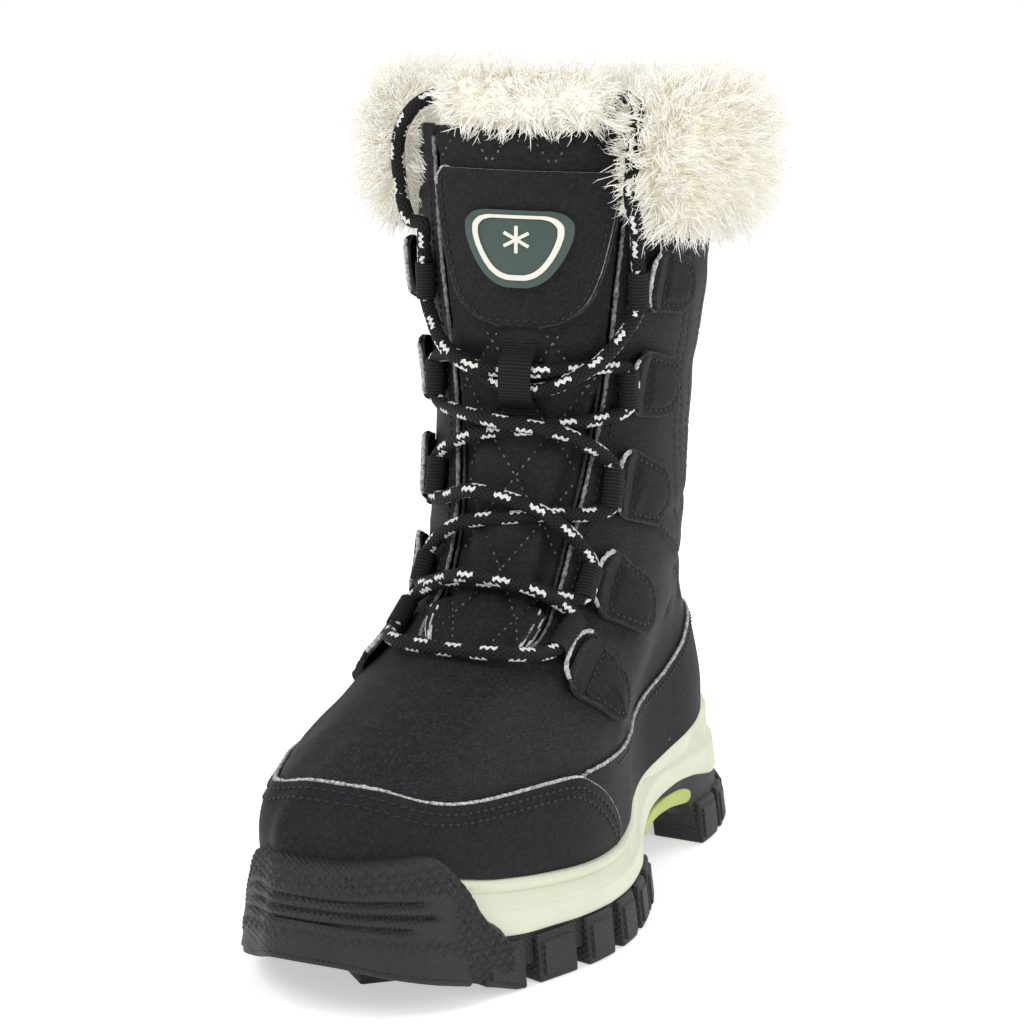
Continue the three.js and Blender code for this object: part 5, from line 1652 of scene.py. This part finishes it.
def stitched(name, lines, spacing, length, radius, material):
    """Thread along lines. Each line holds points and the directions out of the cloth there."""
    middles, tangents, normals = [], [], []
    for points, outs in lines:
        both = even(np.hstack([points, outs]), step=spacing)
        path, out = both[:, :3], both[:, 3:]
        along = np.gradient(path, axis=0)
        middles.append((path[1:] + path[:-1]) / 2)
        tangents.append((along[1:] + along[:-1]) / 2)
        normals.append((out[1:] + out[:-1]) / 2)
    middle = np.concatenate(middles)
    tangent = np.concatenate(tangents)
    tangent /= np.linalg.norm(tangent, axis=1, keepdims=True)
    normal = np.concatenate(normals)
    normal -= tangent * (normal * tangent).sum(1)[:, None]
    normal /= np.linalg.norm(normal, axis=1, keepdims=True)
    across = np.cross(normal, tangent)
    bm = bmesh.new()
    bmesh.ops.create_icosphere(bm, subdivisions=1, radius=1)

    def place(shape):
        return (middle[:, None] + tangent[:, None] * shape[:, 0, None] * length / 2
                + across[:, None] * shape[:, 1, None] * radius + normal[:, None] * shape[:, 2, None] * radius)

    return scattered(name, bm, len(middle), place, [material])


def turn_line(turns, rows_height, out):
    """A line round the form at a height that depends on how far along the boot it is."""
    height = np.full(len(turns), 60.0)
    for _ in range(12):
        height = 0.4 * height + 0.6 * rows_height(form(turns, height)[:, 1])
    return grown(turns, height, out + relief(turns, height)), form_normal(turns, height)


def side_line_points(line, sign, out):
    dense = even(np.asarray(line, float), step=1.5)
    turn = side_turn(dense[:, 0], dense[:, 1], sign)
    return grown(turn, dense[:, 1], out + relief(turn, dense[:, 1])), form_normal(turn, dense[:, 1])


def front_line_points(side, height, out):
    turn = front_turn(side, height)
    return grown(turn, height, out), form_normal(turn, height)


def make_stitches(sizes):
    pitch = sizes.stitch_spacing / MM
    length = pitch * 0.72
    dark = FINISH["thread"]
    face = GAP / 2 + OVERLAY + 0.12
    lines = []
    cap = spline([(at_along(a), h * SHAFT_HEIGHT) for a, h in CAP_EDGE], False, 8)
    for inset in (2.6, 5.2):
        lines.append(turn_line(np.linspace(-0.262, 0.262, 260),
                               lambda y, d=inset: np.interp(y + d * 0.7, cap[:, 0], cap[:, 1]) - d, face))
    for sign, col in ((1, 1), (-1, 2)):
        turns = sign * np.linspace(0.215, 0.468, 190)
        lines.append(turn_line(
            turns, lambda y, c=col: column(RAND_ROWS, c, share_along(y)) * SHAFT_HEIGHT - 2.8, face))
    for sign in (1, -1):
        for line in SIDE_SEAMS:
            lines.append(side_line_points(line, sign, 0.05))
        height = np.linspace(0.36, 0.95, 120) * SHAFT_HEIGHT
        lines.append(front_line_points(sign * (throat_half(height) + 3.0), height, 0.12))
        stay = np.linspace(0.33, 0.98, 120) * SHAFT_HEIGHT
        middle = ridge(stay, 0.5)
        seam = middle + sign * (BACK_STAY_WIDTH / 2 - 1.8)
        turns = search(lambda t: -across_of(form(t, stay)), -seam, 0.3, 0.7)
        lines.append((grown(turns, stay, face + relief(turns, stay)), form_normal(turns, stay)))
    for sign in (1, -1):
        for row in TAB_ROWS:
            outline = even(tab_seam(row), step=1.0)
            turn = side_turn(outline[:, 0], outline[:, 1], sign)
            out = GAP / 2 + TAB - 0.45 + relief(turn, outline[:, 1])
            lines.append((grown(turn, outline[:, 1], out), form_normal(turn, outline[:, 1])))
    outline = front_outline(PATCH_ROWS, -2.4)
    outline = np.vstack([outline, outline[:1]])
    outline[:, 1] = np.clip(outline[:, 1], PATCH_ROWS[0, 0] * SHAFT_HEIGHT + 2.2,
                            PATCH_ROWS[-1, 0] * SHAFT_HEIGHT - 2.2)
    lines.append(front_line_points(outline[:, 0] - ridge(outline[:, 1]), outline[:, 1], face))
    mesh = stitched("seam_stitches", lines, pitch, length, sizes.thread_width / MM / 2, dark)
    return piece("seam_stitches", mesh, (), 80)


def make_quilting(sizes):
    """Thread along the diamond lines of the tongue."""
    lines = []
    c, s = math.cos(QUILT_ANGLE), math.sin(QUILT_ANGLE)
    for sign in (1, -1):
        for k in range(2, 18):
            height = np.linspace(93, TONGUE_TOP * SHAFT_HEIGHT - 3, 400)
            side = sign * (k * QUILT_PITCH - height * s) / c
            inside = np.abs(side) < throat_half(height) - 2.4
            inside &= ~((height > 186) & (height < 239) & (np.abs(side) < 0.25 * BALL_WIDTH))
            runs = np.split(np.arange(400), np.where(np.diff(inside.astype(int)) != 0)[0] + 1)
            for run in runs:
                if len(run) > 14 and inside[run[0]]:
                    out = tongue_out(side[run], height[run]) + 0.1
                    lines.append(front_line_points(side[run], height[run], out))
    # The quilting thread is dark, with painted glints in random patches.
    mesh = stitched("quilt_stitches", lines, sizes.stitch_spacing / MM, sizes.stitch_spacing / MM * 0.45,
                    sizes.thread_width / MM / 2, FINISH["pale_thread"])
    return piece("quilt_stitches", mesh, (), 80)


def frayed(name, points, radius, seed, material):
    """A rough raw edge along a line."""
    path = even(np.asarray(points, float), step=0.9)
    rng = np.random.default_rng(seed)
    path = path + rng.normal(0, 0.07, path.shape)
    first, second = carried_frames(path, np.cross(path[1] - path[0], [0.3, 0.2, 0.9]))
    scale = rng.uniform(0.75, 1.2, (len(path), 2))
    return sweep(name, path, first, second, circle(radius, 6), [material], scale)


def make_raw_edges():
    """The pale cut edges of the overlays, the tabs, the patch and the throat."""
    pale, dark, grey = FINISH["edge"], FINISH["dark_edge"], FINISH["grey_edge"]
    parts = []
    cap = spline([(at_along(a), h * SHAFT_HEIGHT) for a, h in CAP_EDGE], False, 8)
    middle = GAP / 2 + OVERLAY * 0.55
    line = turn_line(np.linspace(-0.272, 0.272, 260), lambda y: np.interp(y, cap[:, 0], cap[:, 1]), middle)
    parts.append(frayed("cap_edge", line[0], 0.62, 1, pale))
    for sign, col in ((1, 1), (-1, 2)):
        turns = sign * np.linspace(0.176, 0.472, 200)
        line = turn_line(turns, lambda y, c=col: column(RAND_ROWS, c, share_along(y)) * SHAFT_HEIGHT, middle)
        parts.append(frayed("rand_edge", line[0], 0.62, 2, pale))
        height = np.linspace(0.365, 0.985, 150) * SHAFT_HEIGHT
        line = front_line_points(sign * throat_half(height), height, -0.5)
        parts.append(frayed("throat_edge", line[0], 0.75, 3, grey))
        line = front_line_points(sign * (throat_half(height) - 1.3), height, -1.9)
        parts.append(frayed("lining_edge", line[0], 0.6, 4, dark))
        for level, row in enumerate(TAB_ROWS):
            outline = tab_outline(row)
            centre, back = tab_front(row)
            ahead = (outline - centre) @ back
            outline = np.roll(outline, -int(ahead.argmax()), axis=0)
            ahead = (outline - centre) @ back
            front = np.where(ahead < 3.4 if level < 3 else ahead < 2.2)[0]
            turn = side_turn(outline[:, 0], outline[:, 1], sign)
            out = GAP / 2 + TAB * 0.6 + tab_lift(ahead) + relief(turn, outline[:, 1])
            points = grown(turn, outline[:, 1], out)
            parts.append(frayed("tab_edge", points[front[0]:front[-1] + 1], 0.8, 5 + level, pale))
            # The grey tube along the tab's back rim is partly its cut edge, partly painted highlight of the
            # rounded rim.
            rest = np.vstack([points[front[-1]:], points[:front[0] + 1]])
            parts.append(frayed("tab_back", rest, 0.55, 15 + level, dark))
    outline = front_outline(PATCH_ROWS)
    side, height = outline[:, 0] - ridge(outline[:, 1]), outline[:, 1]
    points = front_line_points(side, height, middle)[0]
    top = np.where(height > 0.925 * SHAFT_HEIGHT)[0]
    parts.append(frayed("patch_top", points[top[0]:top[-1] + 1], 0.55, 30, pale))
    parts.append(frayed("patch_side", points[:top[0] + 1], 0.5, 31, dark))
    parts.append(frayed("patch_side", points[top[-1]:], 0.5, 32, dark))
    return piece("raw_edges", joined("raw_edges", parts), (), 80)


# Stage

CAMERA_PLACE = np.array([0.3319, -0.7731, 0.2726])
CAMERA_TURN = (math.radians(27.7626), math.radians(10.0474), math.radians(0.7278))
CAMERA_LENS = 92.58
AIM = (213 / 2633.26, 4 / 2633.26)


def make_camera():
    azimuth, elevation, roll = CAMERA_TURN
    back = np.array([math.sin(azimuth) * math.cos(elevation), -math.cos(azimuth) * math.cos(elevation),
                     math.sin(elevation)])
    right = np.array([math.cos(azimuth), math.sin(azimuth), 0])
    up = np.cross(back, right)
    right, up = (right * math.cos(roll) + up * math.sin(roll), up * math.cos(roll) - right * math.sin(roll))
    aimed = back - right * AIM[0] - up * AIM[1]
    aimed /= np.linalg.norm(aimed)
    right = right - aimed * (right @ aimed)
    right /= np.linalg.norm(right)
    up = np.cross(aimed, right)
    data = bpy.data.cameras.new("photo_camera")
    data.lens = CAMERA_LENS
    data.sensor_width = 36
    data.clip_end = 20
    camera = bpy.data.objects.new("photo_camera", data)
    bpy.context.scene.collection.objects.link(camera)
    rows = [(right[i], up[i], aimed[i], CAMERA_PLACE[i]) for i in range(3)]
    camera.matrix_world = Matrix((*rows, (0, 0, 0, 1)))
    bpy.context.scene.camera = camera


def area_light(name, place, aim, size, power):
    data = bpy.data.lights.new(name, "AREA")
    data.shape = "RECTANGLE"
    data.size, data.size_y = size
    data.energy = power
    light = bpy.data.objects.new(name, data)
    light.location = place
    light.rotation_euler = (Vector(aim) - Vector(place)).to_track_quat("-Z", "Y").to_euler()
    bpy.context.scene.collection.objects.link(light)


def make_stage():
    bm = bmesh.new()
    bmesh.ops.create_grid(bm, x_segments=1, y_segments=1, size=4)
    pale = new_material("pale_floor", (0.8, 0.8, 0.8), 0.9, Emission_Color=(1, 1, 1, 1),
                        Emission_Strength=0.5)[0]
    floor = bpy.data.objects.new("floor", to_mesh("floor", bm, [pale]))
    bpy.context.scene.collection.objects.link(floor)
    world = bpy.data.worlds.new("studio")
    world.use_nodes = True
    tree = world.node_tree
    seen_directly = node(tree, "ShaderNodeLightPath").outputs[0]
    strength = maths(tree, "ADD", maths(tree, "MULTIPLY", seen_directly, 0.42), 0.6)
    tree.nodes["Background"].inputs[0].default_value = (1, 1, 1, 1)
    tree.links.new(strength, tree.nodes["Background"].inputs[1])
    bpy.context.scene.world = world
    bpy.context.scene.view_settings.view_transform = "Standard"
    area_light("key", (-0.5, -1.2, 1.3), (0, 0, 0.12), (0.8, 0.8), 15)
    area_light("side", (1.5, -0.3, 0.7), (0, 0, 0.12), (0.5, 0.9), 6)
    area_light("back", (0.4, 1.3, 1.2), (0, 0, 0.15), (0.8, 0.6), 8)


# Add-on

class SNOWBOOT_PG_sizes(bpy.types.PropertyGroup):
    stitch_spacing: bpy.props.FloatProperty(
        name="Stitch spacing", description="Distance from one stitch of a seam to the next", default=0.003,
        min=0.001, max=0.01, unit="LENGTH")
    thread_width: bpy.props.FloatProperty(
        name="Thread width", description="Thickness of the sewing thread", default=0.0008, min=0.0002,
        max=0.003, unit="LENGTH")
    fur_length: bpy.props.FloatProperty(
        name="Fur length", description="Length of the collar's pile", default=0.0105, min=0.003, max=0.03,
        unit="LENGTH")
    fur_hairs: bpy.props.IntProperty(
        name="Fur hairs", description="Hairs in each half of the collar", default=9200, min=200, max=9500)


class SNOWBOOT_PG_colours(bpy.types.PropertyGroup):
    upper: bpy.props.FloatVectorProperty(
        name="Upper", description="Colour of the cloth and leather", default=(0.007, 0.007, 0.0078), size=3,
        min=0, max=1, subtype="COLOR")
    midsole: bpy.props.FloatVectorProperty(
        name="Midsole", description="Colour of the foam", default=(0.68, 0.70, 0.55), size=3, min=0, max=1,
        subtype="COLOR")
    accent: bpy.props.FloatVectorProperty(
        name="Arch insert", description="Colour of the rubber under the arch", default=(0.42, 0.5, 0.11),
        size=3, min=0, max=1, subtype="COLOR")
    fur: bpy.props.FloatVectorProperty(
        name="Fur", description="Colour of the collar's pile and the lining", default=(0.93, 0.915, 0.85),
        size=3, min=0, max=1, subtype="COLOR")


def prepare(context):
    if not FINISH:
        make_finishes(context.scene.snow_boot_colours)


class SNOWBOOT_OT_stage(bpy.types.Operator):
    """Set up the floor, the lights and the camera"""
    bl_idname = "snow_boot.stage"
    bl_label = "Stage"

    def execute(self, context):
        make_stage()
        make_camera()
        return {"FINISHED"}


class SNOWBOOT_OT_lacing(bpy.types.Operator):
    """Make the lace, its free ends, the webbing loops and the keeper"""
    bl_idname = "snow_boot.lacing"
    bl_label = "Lacing"

    def execute(self, context):
        prepare(context)
        make_lace()
        for level in range(len(LACING_ROWS)):
            for name, sign in (("lateral", 1), ("medial", -1)):
                make_loop(level, name, sign)
        make_keeper()
        return {"FINISHED"}


class SNOWBOOT_OT_sole(bpy.types.Operator):
    """Make the lugged outsole, the midsole and the arch insert, and finish the insole"""
    bl_idname = "snow_boot.sole"
    bl_label = "Sole"

    def execute(self, context):
        prepare(context)
        make_outsole()
        make_midsole()
        make_arch()
        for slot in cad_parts["insole"].material_slots:
            slot.material = FINISH["board"]
        return {"FINISHED"}


class SNOWBOOT_OT_upper(bpy.types.Operator):
    """Make the shaft and vamp with their creases and open throat"""
    bl_idname = "snow_boot.upper"
    bl_label = "Upper"

    def execute(self, context):
        prepare(context)
        make_upper()
        return {"FINISHED"}


class SNOWBOOT_OT_overlays(bpy.types.Operator):
    """Make the toe cap, the rands, the back stay and the lace tabs"""
    bl_idname = "snow_boot.overlays"
    bl_label = "Overlays"

    def execute(self, context):
        prepare(context)
        make_cap()
        make_rand("lateral", 1)
        make_rand("medial", -1)
        make_stay()
        for level, row in enumerate(TAB_ROWS):
            make_tab(row, level, "lateral", 1)
            make_tab(row, level, "medial", -1)
        return {"FINISHED"}


class SNOWBOOT_OT_tongue(bpy.types.Operator):
    """Make the quilted tongue, its patch and the badge"""
    bl_idname = "snow_boot.tongue"
    bl_label = "Tongue"

    def execute(self, context):
        prepare(context)
        make_tongue()
        make_patch()
        make_badge()
        return {"FINISHED"}


class SNOWBOOT_OT_fur(bpy.types.Operator):
    """Make the fur collar and the fur behind the tongue"""
    bl_idname = "snow_boot.fur"
    bl_label = "Fur"

    def execute(self, context):
        prepare(context)
        sizes = context.scene.snow_boot_sizes
        length = sizes.fur_length / MM
        hairs = sizes.fur_hairs // 1
        make_roll("fur_cuff_dressed", cuff_axis, 9.0, 20.0, 120, 36, "fur_cuff")
        make_pile("fur_pile_lateral", cuff_axis, (0.0, 0.5), 9.0, 20.0, hairs, 620, length, 11)
        make_pile("fur_pile_medial", cuff_axis, (0.5, 1.0), 9.0, 20.0, hairs, 620, length, 12)
        make_roll("tongue_fur_dressed", tongue_axis, 5.0, 7.0, 40, 20, "tongue_fur")
        make_pile("fur_pile_tongue", tongue_axis, (0.0, 1.0), 5.0, 7.0, hairs // 4, 150, length * 0.7, 13)
        return {"FINISHED"}


class SNOWBOOT_OT_stitching(bpy.types.Operator):
    """Sew the seams of the upper, the overlays and the tongue's quilting"""
    bl_idname = "snow_boot.stitching"
    bl_label = "Stitching"

    def execute(self, context):
        prepare(context)
        sizes = context.scene.snow_boot_sizes
        make_stitches(sizes)
        make_quilting(sizes)
        make_raw_edges()
        return {"FINISHED"}


OPERATORS = (SNOWBOOT_OT_stage, SNOWBOOT_OT_lacing, SNOWBOOT_OT_sole, SNOWBOOT_OT_upper, SNOWBOOT_OT_overlays,
             SNOWBOOT_OT_tongue, SNOWBOOT_OT_fur, SNOWBOOT_OT_stitching)


class SNOWBOOT_PT_panel(bpy.types.Panel):
    """The boot's sizes, colours and making steps"""
    bl_label = "Snow Boot"
    bl_idname = "SNOWBOOT_PT_panel"
    bl_space_type = "VIEW_3D"
    bl_region_type = "UI"
    bl_category = "Snow Boot"

    def draw(self, context):
        for group in (context.scene.snow_boot_sizes, context.scene.snow_boot_colours):
            for key in group.__annotations__:
                self.layout.prop(group, key)
        for operator in OPERATORS:
            self.layout.operator(operator.bl_idname)


CLASSES = (SNOWBOOT_PG_sizes, SNOWBOOT_PG_colours, *OPERATORS, SNOWBOOT_PT_panel)


def register():
    for cls in CLASSES:
        bpy.utils.register_class(cls)
    bpy.types.Scene.snow_boot_sizes = bpy.props.PointerProperty(type=SNOWBOOT_PG_sizes)
    bpy.types.Scene.snow_boot_colours = bpy.props.PointerProperty(type=SNOWBOOT_PG_colours)


def unregister():
    del bpy.types.Scene.snow_boot_colours
    del bpy.types.Scene.snow_boot_sizes
    for cls in reversed(CLASSES):
        bpy.utils.unregister_class(cls)


def main():
    register()
    bpy.ops.snow_boot.stage()
    bpy.ops.snow_boot.lacing()
    bpy.ops.snow_boot.sole()
    bpy.ops.snow_boot.upper()
    bpy.ops.snow_boot.overlays()
    bpy.ops.snow_boot.tongue()
    bpy.ops.snow_boot.fur()
    bpy.ops.snow_boot.stitching()


if __name__ == "__main__":
    main()
